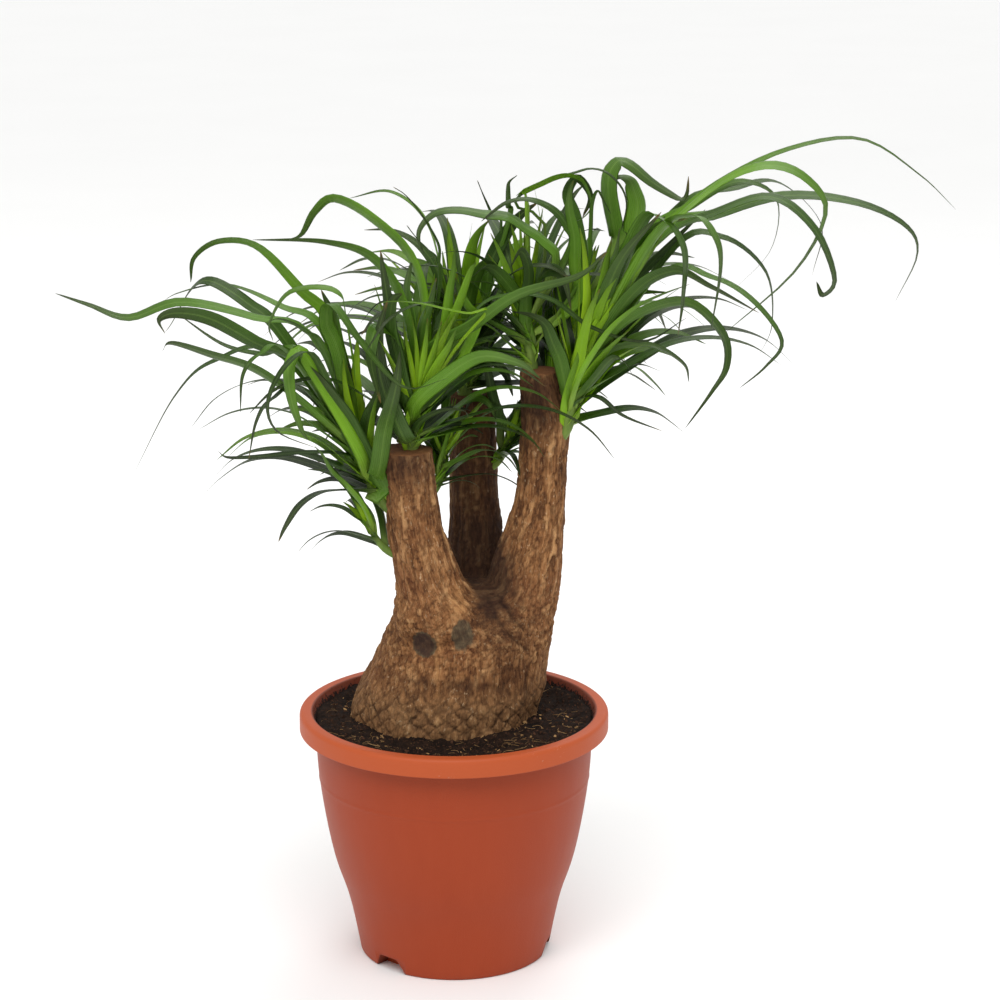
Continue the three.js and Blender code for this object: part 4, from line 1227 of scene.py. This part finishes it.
            [0.05, 8.5, 0.6, [-14, -30, -34],
                [[93, 455], [103, 488], [109, 515], [114, 538], [117, 555], [120, 569]]],
            [0.45, 15.5, 0.55, [-10, -22, -26],
                [[97, 467], [110, 504], [119, 532], [128, 555], [143, 572], [159, 581], [177, 585]]],
            [0.0, 4, 0.8, [-30, -44, -46],
                [[109, 496], [124, 521], [136, 538], [145, 552], [153, 564], [158, 573]]],
            [0.1, 9, 0.7, [-22, -36, -40],
                [[106, 492], [121, 520], [133, 537], [142, 551], [149, 562], [153, 570]]],
            [0.3, 4.5, 0.45, [-34, -46, -50],
                [[97, 463], [110, 487], [123, 504], [140, 518], [158, 527], [179, 535]]],
            [0.9, 11, 0.45, [-12, -18, -8],
                [[86, 453], [82, 475], [76, 490], [70, 504], [59, 511], [45, 514]]],
            [0.3, 5.5, 0.4, [-8, -24, -30], [[85, 430], [86, 445], [91, 465], [97, 484], [104, 504]]],
        ],
        "fill": {"count": 10, "length": 240, "facing": 60, "spread": 150, "lean": [20, 70], "sag": 0.3},
    },
    {
        "name": "shoot_right_back",
        "stem": [[71, 15, 436], [76, 28, 450], [83, 34, 469], [89, 38, 489]],
        "radius": 8,
        "width": 11,
        "seen": [
            [3, [48, 50, 44], [[92, 580], [70, 600], [50, 604]]],
            [4, [44, 28, 16], [[98, 578], [86, 600], [98, 601], [105, 588]]],
        ],
        "also": [
            [0.5, 11.5, 0.6, [40, 44, 42],
                [[120, 561], [122, 573], [119, 592], [117, 607], [118, 619], [121, 625], [126, 629],
                 [135, 625], [148, 614], [162, 605], [172, 600], [176, 604], [177, 617]]],
            [0.55, 13.5, 0.5, [50, 54, 56],
                [[132, 561], [136, 578], [139, 595], [136, 607], [133, 614], [126, 617], [120, 614]]],
        ],
        "fill": {"count": 14, "length": 220, "facing": 95, "spread": 150, "lean": [16, 74], "sag": 0.28},
    },
    {
        "name": "shoot_right_top",
        "stem": [[61, 14, 455], [59, 18, 473], [57, 20, 490], [55, 21, 508]],
        "radius": 8.5,
        "width": 11,
        "seen": [
            [2.5, [20, 10, 4],
                [[58, 595], [51, 604], [67, 612], [79, 617], [89, 618], [98, 614], [103, 604], [105, 595],
                 [102, 589], [96, 584], [90, 583]]],
            [4, [22, 20, 20], [[48, 530], [43, 575], [41, 600], [48, 617]]],
            [3, [24, 26, 28], [[44, 530], [34, 570], [24, 597], [16, 616]]],
            [6, [4, -14, -30],
                [[81, 552], [70, 569], [56, 578], [42, 587], [24, 589], [7, 592], [-9, 591], [-19, 585],
                 [-25, 576], [-25, 567], [-21, 558]]],
            [2.5, [10, -8, -14], [[40, 512], [10, 515], [-20, 518], [-52, 522], [-70, 505]]],
            [10, [14, -8, -22], [[50, 520], [38, 540], [26, 548], [14, 540]]],
            [10, [14, -14, -30], [[60, 525], [72, 545], [84, 540], [90, 515]]],
            [8, [8, -20, -30], [[56, 520], [58, 545], [52, 560], [44, 548]]],
            [6, [26, 36, 42], [[62, 530], [76, 570], [90, 600], [100, 612]]],
        ],
        "also": [
            [0.5, 9, 0.7, [12, 4, 0], [[93, 523], [92, 550], [92, 570], [88, 590], [88, 603], [91, 614]]],
            [0.8, 6, 0.8, [6, -6, -16],
                [[90, 561], [86, 580], [75, 593], [58, 600], [42, 598], [30, 590], [22, 583]]],
            [0.9, 2.5, 0.5, [22, 14, 10],
                [[70, 576], [47, 595], [59, 609], [78, 616], [92, 620], [103, 623], [114, 621], [123, 614],
                 [129, 605], [131, 595], [129, 584], [127, 576]]],
            [0.75, 3, 0.4, [14, 8, 4],
                [[100, 542], [104, 573], [105, 595], [109, 606], [114, 598], [119, 589]]],
        ],
        "fill": {"count": 12, "length": 190, "facing": 110, "spread": 260, "lean": [16, 74], "sag": 0.28},
    },
]

leafRule = {
    # the plain blade that stands for a leaf where crossings are looked for
    "root": 0.6,               # width at the root, as a share, and how far up it is full
    "swell": 0.15,
    "taper": 0.92,             # how much narrower it gets, and from where
    "taperFrom": 0.3,
    "tip": 1.3,                # width at the tip
    "keel": (1.3, 0.9, 4),     # depth of the section, its least, and the half width that gives it in full
    "twistLimit": 0.24,        # most twist for each span
    "twistedAt": 0.55,         # where along a leaf its twist is reached
    # keeping clear
    "room": 0.5,               # to the leaves of other shoots
    "rooted": 0.3,             # up to where leaves of one shoot may nest in each other
    "turns": [0, 3, -3, 6, -6, 10, -10, 15, -15],          # degrees, tried one after another
    "slides": [0, -5, 5, -10, 10, -16, 16, -24, 24, -34],  # and for leaves that show, along the sight
    # leaves that fill a shoot out
    "apart": 0.618,            # from one leaf to the next round the stem, as a share of the spread
    "turnPlay": 24,
    "tiltPlay": 14,
    "curlPlay": 9,
    "innermost": 0.62,         # length of the innermost leaf, as a share
    "sag": (0.35, 0.6, 1.1),   # how much of its sag a leaf starts with, and the inner and outer ones' share
    "lengthPlay": (0.82, 1.12),
    "widthPlay": (0.8, 1.1),
    "roots": (0.9, 0.25),      # where on the stem the innermost and the outermost start
    "seenRoots": (0.3, 0.85),
    "stemSwell": (0.75, 1.2),  # thickness of a stem below and at its leaves, as a share
    "steps": 6,
    "seed": 101,
    "seedStep": 17,
}

leafLook = {
    "points": 34,              # along one leaf
    "edges": 10,               # round its section
    "thickness": 0.07,         # as a share of the half width
    "fold": (0.8, 0.14, 0.32), # how deep the blade is folded at its foot and further up, and from where on
    "foot": 1.05,              # width just above the root, as a share of the full width
    "rooted": (0.4, 0.07),     # how narrow a leaf is where it leaves the stem, and up to where
    "breadth": 1.1,            # against the plain solids' leaves
    "listedWidth": 1.15,       # width of a leaf in the listed extra ones, against the width seen
    "twistMost": 1.25,
    "slim": 0.6,               # how much narrower a leaf is that shows as a thin line, and below what width
    "slimBelow": 5,
    "arched": 0.6,             # how wide a leaf shows where it runs level, against where it stands
    "thread": 0.9,             # width at the tip
    "taper": (0.92, 0.36, 1.5),  # how much narrower it gets, from where, and how late
    "tipEnd": 0.35,            # width of the very last point, against that
    "tipFall": 15,             # how much further each of the last steps hangs over, in degrees
    "hangMost": (9, 32),       # how far below its root a leaf that fills a shoot out may hang
    "shortest": 0.6,           # how much shorter that may make it where it leans to the left or right
    "sideways": (0.4, 0.9),    # and from which share of its run to the side that begins and is full
    "ageing": (0.46, 1.5, 0.12),  # age of an upright leaf, the lean in radians that adds 1, and play
    "stemTaper": (0.75, 0.35),
    "stemFacets": (16, 28),    # along a stem and round it
    "seed": 907,
    "toneSeed": 5001,
}

# More leaves in every shoot: how many for one in the shoot's own fill, how far they lean, how long and wide
# they are against the shoot's own, where on the stem they start, how they hang over, and how old they look;
# the inner ones are made darkest, as painted shade deep in the crown.
tufts = {
    "heart": {"count": 1.4, "lean": [3, 26], "length": (0.36, 0.62), "width": (0.5, 0.78),
              "roots": (0.98, 0.6), "sag": 0.13, "age": 0.0},
    "sheath": {"count": 1.1, "lean": [10, 46], "length": (0.7, 1.0), "width": (1.0, 1.2),
               "roots": (0.34, 0.02), "sag": 0.34, "age": 0.35},
    "arch": {"count": 1.0, "lean": [24, 66], "length": (0.7, 1.0), "width": (0.85, 1.1),
             "roots": (0.8, 0.2), "sag": 0.36, "age": 0.5},
    "skirt": {"count": 0.5, "lean": [60, 96], "length": (0.5, 0.85), "width": (0.75, 1.0),
              "roots": (0.3, 0.02), "sag": 0.34, "age": 0.85},
    # the inner leaves look oldest and darkest, and stand for painted shade in the middle of the crown
    "inner": {"count": 0.9, "lean": [10, 62], "length": (0.3, 0.52), "width": (0.95, 1.25),
              "roots": (0.9, 0.15), "sag": 0.2, "age": 1.0},
    "curl": {"count": 0.9, "lean": [4, 46], "length": (0.42, 0.66), "width": (0.3, 0.5),
             "roots": (0.95, 0.5), "sag": 0.62, "age": 0.85},
}

tuftRule = {
    "gap": 80,                 # how wide the gap towards the front is, in degrees, which lets the heart show
    "clear": {"shoot_right_front": 220, "shoot_right_back": 235, "shoot_right_top": 150,
              "shoot_left_side": 150, "shoot_left_top": 170, "shoot_left_back": 150,
              "shoot_middle_top": 160},
    "without": {"shoot_right_front": ["skirt", "arch", "curl"],
                "shoot_right_back": ["curl"],
                "shoot_left_side": ["skirt", "arch", "curl"],
                "shoot_left_low": ["skirt", "arch", "sheath", "inner", "curl"],
                "shoot_left_top": ["curl"],
                "shoot_left_back": ["skirt", "curl"],
                "shoot_middle_side": ["skirt", "curl"]},
}


def runPoint(points, share):
    # a point of the smooth run through the listed points
    spans = len(points) - 1
    where = min(max(share, 0.0), 1.0) * spans
    i = min(int(where), spans - 1)
    t = where - i
    q, r = points[i], points[i + 1]
    p = points[i - 1] if i else 2 * q - r
    s = points[i + 2] if i + 2 <= spans else 2 * r - q
    return q + 0.5 * t * (r - p + t * (2 * p - 5 * q + 4 * r - s + t * (3 * (q - r) + s - p)))


def runHeading(points, share):
    step = 1e-4
    return (runPoint(points, min(share + step, 1)) - runPoint(points, max(share - step, 0))).normalized()


def slidTo(depth, point):
    share = (depth - viewpoint.y) / -viewpoint.y
    return Vector((mixed(viewpoint.x, point[0], share), depth, mixed(viewpoint.z, point[1], share)))


def seenPath(stem, share, depths, points):
    # a leaf that shows from in front: from the stem through its listed points
    path = [runPoint(stem, share)]
    for i, point in enumerate(points):
        t = 2 * i / (len(points) - 1)
        depth = mixed(depths[0], depths[1], t) if t < 1 else mixed(depths[1], depths[2], t - 1)
        path.append(slidTo(depth, point))
    return path


def fillPath(stem, fill, index, count, draw, roots):
    # a leaf that fills the shoot out: inner ones stand, outer ones lean away and hang over
    rule = leafRule
    share = (index + 0.5) / count
    place = (index + 1) * rule["apart"] % 1 - 0.5
    turn = math.radians(fill["facing"] + fill["spread"] * place + rule["turnPlay"] * (draw() - 0.5))
    tilt = math.radians(mixed(*fill["lean"], share) + rule["tiltPlay"] * (draw() - 0.5))
    outwards = Vector((math.cos(turn), math.sin(turn), 0))
    along = runHeading(stem, 1) * math.cos(tilt) + outwards * math.sin(tilt)
    stride = fill["length"] * mixed(rule["innermost"], 1, share) * mixed(*rule["lengthPlay"], draw())
    curl = math.radians(rule["curlPlay"] * (draw() - 0.5))
    fromStart, inner, outer = rule["sag"]
    point = runPoint(stem, mixed(*roots, share))
    path = [point.copy()]
    for k in range(rule["steps"]):
        along.normalize()
        point = point + along * stride / rule["steps"]
        path.append(point)
        along.z -= fill["sag"] * (fromStart + k / rule["steps"]) * mixed(inner, outer, share)
        along.rotate(Matrix.Rotation(curl * k / 2, 3, "Z"))
    return path


def hungOver(path, degrees):
    # the last steps of a leaf that still points upwards hang over further and further
    bent, turn = path[:4], 0.0
    for before, after in zip(path[3:], path[4:]):
        step = after - before
        turn += degrees * (0.4 + max(0.0, step.normalized().z))
        axis = upwards.cross(step).normalized()
        bent.append(bent[-1] + Matrix.Rotation(math.radians(turn), 3, axis) @ step)
    return bent


def heldUp(path, number):
    # a leaf that would hang too far below its root is shorter, and its end runs out more level
    root, most = path[0], mixed(*leafLook["hangMost"], number * leafRule["apart"] % 1)
    drop = root.z - min(point.z for point in path)
    run = path[-1] - root
    sideways = eased(abs(run.x) / math.hypot(run.x, run.y), *leafLook["sideways"])
    share = max(mixed(1, leafLook["shortest"], sideways), min(1.0, most / max(drop, 1e-6)))
    held = [root + share * (point - root) for point in path]
    for point in held:
        below = root.z - point.z
        if below > 0:
            point.z = root.z - most * (1 - math.exp(-below / most))
    return held


def turnedAbout(path, degrees):
    turn = Matrix.Rotation(math.radians(degrees), 3, "Z")
    return [path[0] + turn @ (point - path[0]) for point in path]


def widthAt(t, width, tip):
    rule = leafRule
    swollen = mixed(rule["root"], 1, min(1, t / rule["swell"]))
    left = 1 - rule["taper"] * max(0, (t - rule["taperFrom"]) / (1 - rule["taperFrom"])) ** 1.5
    return max(tip, width * swollen * left)


def twistFor(point, along, side, face, plan):
    # the twist that shows the listed width from the viewpoint
    across = (point - viewpoint).cross(along).normalized()
    broad = math.atan2(face.dot(across), side.dot(across))
    tilt = math.acos(min(1, plan["seen"] / plan["width"]))
    choices = [angle - math.pi * round(angle / math.pi) for angle in (broad + tilt, broad - tilt)]
    return min(choices, key=abs)


def bladeFrames(plan, spans, twistMost):
    # points along a leaf, each with its heading, its direction across and the way its upper face looks
    path = plan["path"]
    points = [runPoint(path, k / spans) for k in range(spans + 1)]
    chords = [(b - a).normalized() for a, b in zip(points, points[1:])]
    side = plan["upright"].cross(path[1] - path[0]).normalized()
    frames = []
    for k, point in enumerate(points):
        along = (chords[max(k - 1, 0)] + chords[min(k, spans - 1)]).normalized()
        side = (side - along * side.dot(along)).normalized()
        frames.append((point, along, side, along.cross(side)))
    if plan.get("faced"):
        return facedFrames(plan, frames)
    middle = round(spans * leafRule["twistedAt"])
    twist = 0.0
    if plan["seen"]:
        twist = min(max(twistFor(*frames[middle], plan), -twistMost), twistMost)
    turned = []
    for k, (point, along, side, face) in enumerate(frames):
        turn = Matrix.Rotation(twist * min(1, k / middle), 3, along)
        turned.append((point, along, turn @ side, turn @ face))
    return turned


def facedFrames(plan, frames):
    # the same with the blade turned to the viewpoint, and further away from it where the leaf arches over
    turned, last = [], None
    for point, along, _, _ in frames:
        across = (point - viewpoint).cross(along).normalized()
        if last and across.dot(last) < 0:
            across.negate()
        last = across
        shown = plan["seen"] * mixed(leafLook["arched"], 1, abs(along.z))
        turned.append((point, along, across, math.acos(min(1, shown / plan["width"]))))
    _, along, across, tilt = turned[len(turned) // 2]
    ways = [along.cross(Matrix.Rotation(way * tilt, 3, along) @ across).z for way in (1, -1)]
    way = 1 if abs(ways[0]) > abs(ways[1]) else -1
    made = []
    for point, along, across, tilt in turned:
        side = Matrix.Rotation(way * tilt, 3, along) @ across
        made.append((point, along, side, along.cross(side)))
    return made


def coarseBlade(plan, extra, start=0.0):
    # a leaf as a plain solid for finding crossings: its search tree and its box
    rule = leafRule
    deep, thin, full = rule["keel"]
    spans = max(5, math.floor(1.1 * (len(plan["path"]) - 1) + 0.5))
    twistMost = rule["twistLimit"] * round(spans * rule["twistedAt"])
    rings = []
    for k, (point, _, side, face) in enumerate(bladeFrames(plan, spans, twistMost)):
        half = widthAt(k / spans, plan["width"], rule["tip"]) / 2 + extra
        keel = max(thin, deep * min(1, half / full)) + extra
        rings.append([point + side * half + face * extra, point - side * half + face * extra,
                      point - face * keel])
    return searchable(*loft(rings[math.floor(start * spans + 0.5):]))


def searchable(points, faces):
    low = [min(point[n] for point in points) for n in range(3)]
    high = [max(point[n] for point in points) for n in range(3)]
    return BVHTree.FromPolygons(points, faces), low, high


def crosses(body, others):
    tree, low, high = body
    for otherTree, otherLow, otherHigh in others:
        if all(low[n] <= otherHigh[n] and otherLow[n] <= high[n] for n in range(3)):
            if tree.overlap(otherTree):
                return True
    return False


def stemRings(shoot, extra=0.0, rows=6, facets=8, taper=None):
    # the green stem of a shoot, thickest where the leaves are set
    stem = [Vector(point) for point in shoot["stem"]]
    rings = []
    for row in range(rows + 1):
        t = row / rows
        along = runHeading(stem, t)
        side = Vector((0, 1, 0)).cross(along).normalized()
        other = along.cross(side)
        swell = mixed(*leafRule["stemSwell"], math.sin(math.pi * min(t, 0.96) * 0.75))
        radius = shoot["radius"] * (mixed(*taper, t) if taper else swell) + extra
        middle = runPoint(stem, t) - along * (extra if row == 0 else 0)
        rings.append([middle + side * radius * math.cos(angle) + other * radius * math.sin(angle)
                      for angle in (2 * math.pi * i / facets for i in range(facets))])
    return rings


def listedLeaves(shoot, stem):
    plans = []
    low, high = leafRule["seenRoots"]
    for i, (seen, depths, points, *age) in enumerate(shoot["seen"]):
        share = mixed(low, high, i * leafRule["apart"] % 1)
        plans.append({"path": seenPath(stem, share, depths, points), "seen": seen,
                      "width": max(shoot["width"], seen)})
        if age:
            plans[-1]["age"] = age[0]
    return plans


def addListed(shoot, stem, others, ownFree):
    # more leaves that show from in front, each slid along the sight until it clears the other shoots
    kept = []
    for age, seen, share, depths, points in shoot.get("also", []):
        for slide in leafRule["slides"]:
            moved = [depths[0] + slide / 2, depths[1] + slide, depths[2] + slide]
            plan = {"path": seenPath(stem, share, moved, points), "seen": seen,
                    "width": leafLook["listedWidth"] * seen,
                    "upright": runHeading(stem, 1), "age": age, "faced": True}
            if not crosses(coarseBlade(plan, leafRule["room"]), others):
                kept.append(plan)
                ownFree.append(coarseBlade(plan, 0, leafRule["rooted"]))
                break
    return kept


def fillingLeaves(shoot, stem, draw):
    fill = shoot["fill"]
    plans = []
    for i in range(fill["count"]):
        path = fillPath(stem, fill, i, fill["count"], draw, leafRule["roots"])
        width = shoot["width"] * mixed(*leafRule["widthPlay"], draw())
        plans.append({"path": heldUp(hungOver(path, leafLook["tipFall"]), i), "seen": 0, "width": width})
    return plans


def tuftLeaves(shoot, stem, draw):
    # more leaves all round, from the upright young ones in the middle to the old ones at the foot
    plans = []
    for kind, tuft in tufts.items():
        if kind in tuftRule["without"].get(shoot["name"], []):
            continue
        count = round(tuft["count"] * shoot["fill"]["count"])
        spread = 360 if kind == "heart" else 360 - tuftRule["clear"].get(shoot["name"], tuftRule["gap"])
        for i in range(count):
            fill = {"lean": tuft["lean"], "sag": tuft["sag"], "spread": 0,
                    "length": shoot["fill"]["length"] * mixed(*tuft["length"], draw()),
                    "facing": 90 + spread * (draw() - 0.5)}
            path = fillPath(stem, fill, i, count, draw, tuft["roots"])
            if kind != "heart":
                path = heldUp(hungOver(path, leafLook["tipFall"]), i + 3)
            plans.append({"path": path, "seen": 0, "width": shoot["width"] * mixed(*tuft["width"], draw()),
                          "age": tuft["age"]})
    return plans


def chooseLeaves(plans, others, ownFree):
    # leaves that clear the other shoots, turned aside where they must be, and their own shoot if they can
    kept = []
    for plan in plans:
        clear = []
        for degrees in leafRule["turns"]:
            bent = {**plan, "path": turnedAbout(plan["path"], degrees)}
            if not crosses(coarseBlade(bent, leafRule["room"]), others):
                clear.append(bent)
                if not crosses(coarseBlade(bent, 0, leafRule["rooted"]), ownFree):
                    clear = [bent]
                    break
        if clear:
            kept.append(clear[0])
            ownFree.append(coarseBlade(clear[0], 0, leafRule["rooted"]))
    return kept


def plantLeaves():
    # every shoot's leaves: the main ones first, then more between them
    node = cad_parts["trunk"].data
    trunk = searchable([vertex.co / mm for vertex in node.vertices],
                       [tuple(face.vertices) for face in node.polygons])
    taken = [[searchable(*loft(stemRings(shoot, leafRule["room"])))] for shoot in shoots]
    free = [[] for _ in shoots]
    leaves = [[] for _ in shoots]
    for stage in ("main", "listed", "tufts"):
        for index, shoot in enumerate(shoots):
            stem = [Vector(point) for point in shoot["stem"]]
            plans = []
            if stage == "tufts":
                plans = tuftLeaves(shoot, stem, drawer(leafLook["seed"] + index))
            elif stage == "main":
                draw = drawer(leafRule["seed"] + leafRule["seedStep"] * index)
                plans = listedLeaves(shoot, stem) + fillingLeaves(shoot, stem, draw)
            upright = runHeading(stem, 1)
            for plan in plans:
                plan["upright"] = upright
            others = [trunk] + [body for i, bodies in enumerate(taken) if i != index for body in bodies]
            if stage == "listed":
                kept = addListed(shoot, stem, others, free[index])
            else:
                kept = chooseLeaves(plans, others, free[index])
            taken[index] += [coarseBlade(plan, leafRule["room"]) for plan in kept]
            leaves[index] += kept
    return leaves


def leafFinish():
    finish = Finish("leaf", **{"Specular IOR Level": 0.36, "Specular Tint": (0.86, 1.0, 0.6, 1.0)})
    along = finish.attribute("along")
    across = finish.attribute("across")
    age = finish.attribute("age")
    tone = finish.attribute("tone")
    place = finish.place()
    cloud = finish.noise(place, 34, 3)
    # a leaf is bright where it is young, and darkens with age and towards its tip; a high age also paints
    # shade on leaves deep in the crown
    darkening = age * (0.62 + 0.36 * along) + 0.16 * along + 0.26 * (tone - 0.5) + 0.2 * (cloud - 0.5)
    paint = finish.ramp(darkening, (0.04, colour(156, 200, 14)), (0.26, colour(124, 174, 18)),
                        (0.5, colour(86, 130, 24)), (0.76, colour(47, 78, 15)), (1.0, colour(22, 42, 9)))
    # its underside is painted paler, partly its own paler underside and partly a painted sheen, and its far
    # end greyer
    paint = finish.blend(finish.attribute("under").step(-0.1, 0.5) * 0.06, paint, colour(136, 158, 108))
    paint = finish.blend(along.step(0.45, 1.0) * 0.4, paint, colour(70, 78, 48))
    # fine veins run the whole length, either side of a paler middle
    veins = (across * 30 + 6 * tone).sine() * 0.5 + 0.5
    paint = finish.blend(veins * 0.1, paint, colour(24, 52, 18))
    middle = 1 - across.size().step(0.0, 0.22)
    paint = finish.blend(middle * 0.14, paint, colour(150, 186, 92))
    base = 1 - along.step(0.0, 0.16)
    paint = finish.blend(base * 0.5, paint, colour(156, 172, 92))
    dry = along.step(0.92, 1.0) * tone.step(0.55, 0.8)
    paint = finish.blend(dry * 0.7, paint, colour(142, 108, 58))
    roughness = 0.27 + 0.16 * cloud + 0.1 * veins
    return finish.done(paint, roughness, 0.7 * veins + 0.5 * cloud, 0.0003)


def strapGrowth():
    # a strap leaf along each line: a thin section carried along it, scaled by its half width and folded
    growth = Growth("strapLeaves", edges="Int", thickness="Float", footFold="Float", fold="Float",
                    footEnd="Float", material="Material")
    lines = growth.add("GeometryNodeMeshToCurve", None, {"Mesh": growth.given("Geometry")})
    sides = {"Curve": lines, "Normal": growth.named("side", "FLOAT_VECTOR")}
    lines = growth.add("GeometryNodeSetCurveNormal", {"mode": "FREE"}, sides)
    ring = {"Resolution": growth.given("edges"), "Radius": 1.0}
    section = growth.add("GeometryNodeCurvePrimitiveCircle", None, ring)
    across = growth.add("ShaderNodeSeparateXYZ", None, {0: growth.add("GeometryNodeInputPosition")})
    settings = {"data_type": "FLOAT", "domain": "POINT"}
    for name, value in (("across", across), ("under", 0 - across.other("Y"))):
        stored = {"Geometry": section, "Name": name, "Value": value}
        section = growth.add("GeometryNodeStoreNamedAttribute", settings, stored)
    flat = {"X": across, "Y": across.other("Y") * growth.given("thickness")}
    shaped = growth.add("ShaderNodeCombineXYZ", None, flat)
    section = growth.add("GeometryNodeSetPosition", None, {"Geometry": section, "Position": shaped})
    size = growth.named("halfWidth")
    values = {"Curve": lines, "Profile Curve": section, "Scale": size, "Fill Caps": True}
    blades = growth.add("GeometryNodeCurveToMesh", None, values)
    share = growth.named("along").step(0.0, growth.given("footEnd"))
    fold = growth.given("footFold") + share * (growth.given("fold") - growth.given("footFold"))
    lift = fold * size * growth.named("across").size() ** 1.4
    upper = {0: growth.named("face", "FLOAT_VECTOR"), "Scale": lift}
    raised = growth.add("ShaderNodeVectorMath", {"operation": "SCALE"}, upper)
    return growth.done(growth.add("GeometryNodeSetPosition", None, {"Geometry": blades, "Offset": raised}))


def lookWidth(t, width, last):
    # a leaf's width in the picture: broader at its foot than the plain solid's, and drawn out to a thread
    rule, look = leafRule, leafLook
    foot = mixed(look["foot"], 1, min(1, t / rule["swell"]))
    foot *= mixed(look["rooted"][0], 1, eased(t, 0, look["rooted"][1]))
    lost, start, power = look["taper"]
    left = 1 - lost * max(0, (t - start) / (1 - start)) ** power
    return max(look["thread"], look["breadth"] * width * foot * left) * (look["tipEnd"] if last else 1)


def leafLines(name, plans, draw):
    # the middle lines of a shoot's leaves, with their width, lie and age marked on them; the age also
    # carries painted shade
    points, edges = [], []
    marks = {label: [] for label in ("side", "face", "halfWidth", "along", "age", "tone")}
    spans = leafLook["points"] - 1
    young, lean, play = leafLook["ageing"]
    for plan in plans:
        tone = draw()
        leaning = plan["upright"].angle(plan["path"][2] - plan["path"][0])
        age = plan.get("age", min(1.0, young + leaning / lean)) + play * draw()
        slim = leafLook["slim"] if 0 < plan["seen"] < leafLook["slimBelow"] and "age" not in plan else 1
        shown = {**plan, "width": plan["width"] * slim}
        for k, (point, _, side, face) in enumerate(bladeFrames(shown, spans, leafLook["twistMost"])):
            t = k / spans
            if k:
                edges.append((len(points) - 1, len(points)))
            points.append(point)
            half = lookWidth(t, shown["width"], k == spans) / 2 * mm
            for label, value in zip(marks, (tuple(side), tuple(face), half, t, age, tone)):
                marks[label].append(value)
    mesh = meshOf(name, points, edges=edges)
    for label, values in marks.items():
        mark(mesh, label, values, "FLOAT_VECTOR" if label in ("side", "face") else "FLOAT")
    return mesh


def stemFinish():
    finish = Finish("greenStem", **{"Specular IOR Level": 0.3})
    place = finish.place()
    shade = finish.noise(finish.stretched(place, (1, 1, 0.3)), 120, 4)
    paint = finish.ramp(shade, (0.3, colour(62, 88, 30)), (0.7, colour(126, 150, 62)))
    return finish.done(paint, 0.5 + 0.2 * shade, shade, 0.0006)


def buildShoots():
    growth = strapGrowth()
    greenLeaf, greenStem = leafFinish(), stemFinish()
    footFold, fold, footEnd = leafLook["fold"]
    for index, (shoot, plans) in enumerate(zip(shoots, plantLeaves())):
        name = shoot["name"]
        lines = leafLines(name, plans, drawer(leafLook["toneSeed"] + index))
        mesh = growth.applied(f"{name}_leaves", lines, edges=leafLook["edges"], material=greenLeaf,
                              thickness=leafLook["thickness"], footFold=footFold, fold=fold,
                              footEnd=footEnd)
        mesh.shade_smooth()
        settle(mesh, name)
        rings = stemRings(shoot, 0, *leafLook["stemFacets"], leafLook["stemTaper"])
        settle(meshOf(f"{name}_stem", *loft(rings), material=greenStem), name)


buildShoots()
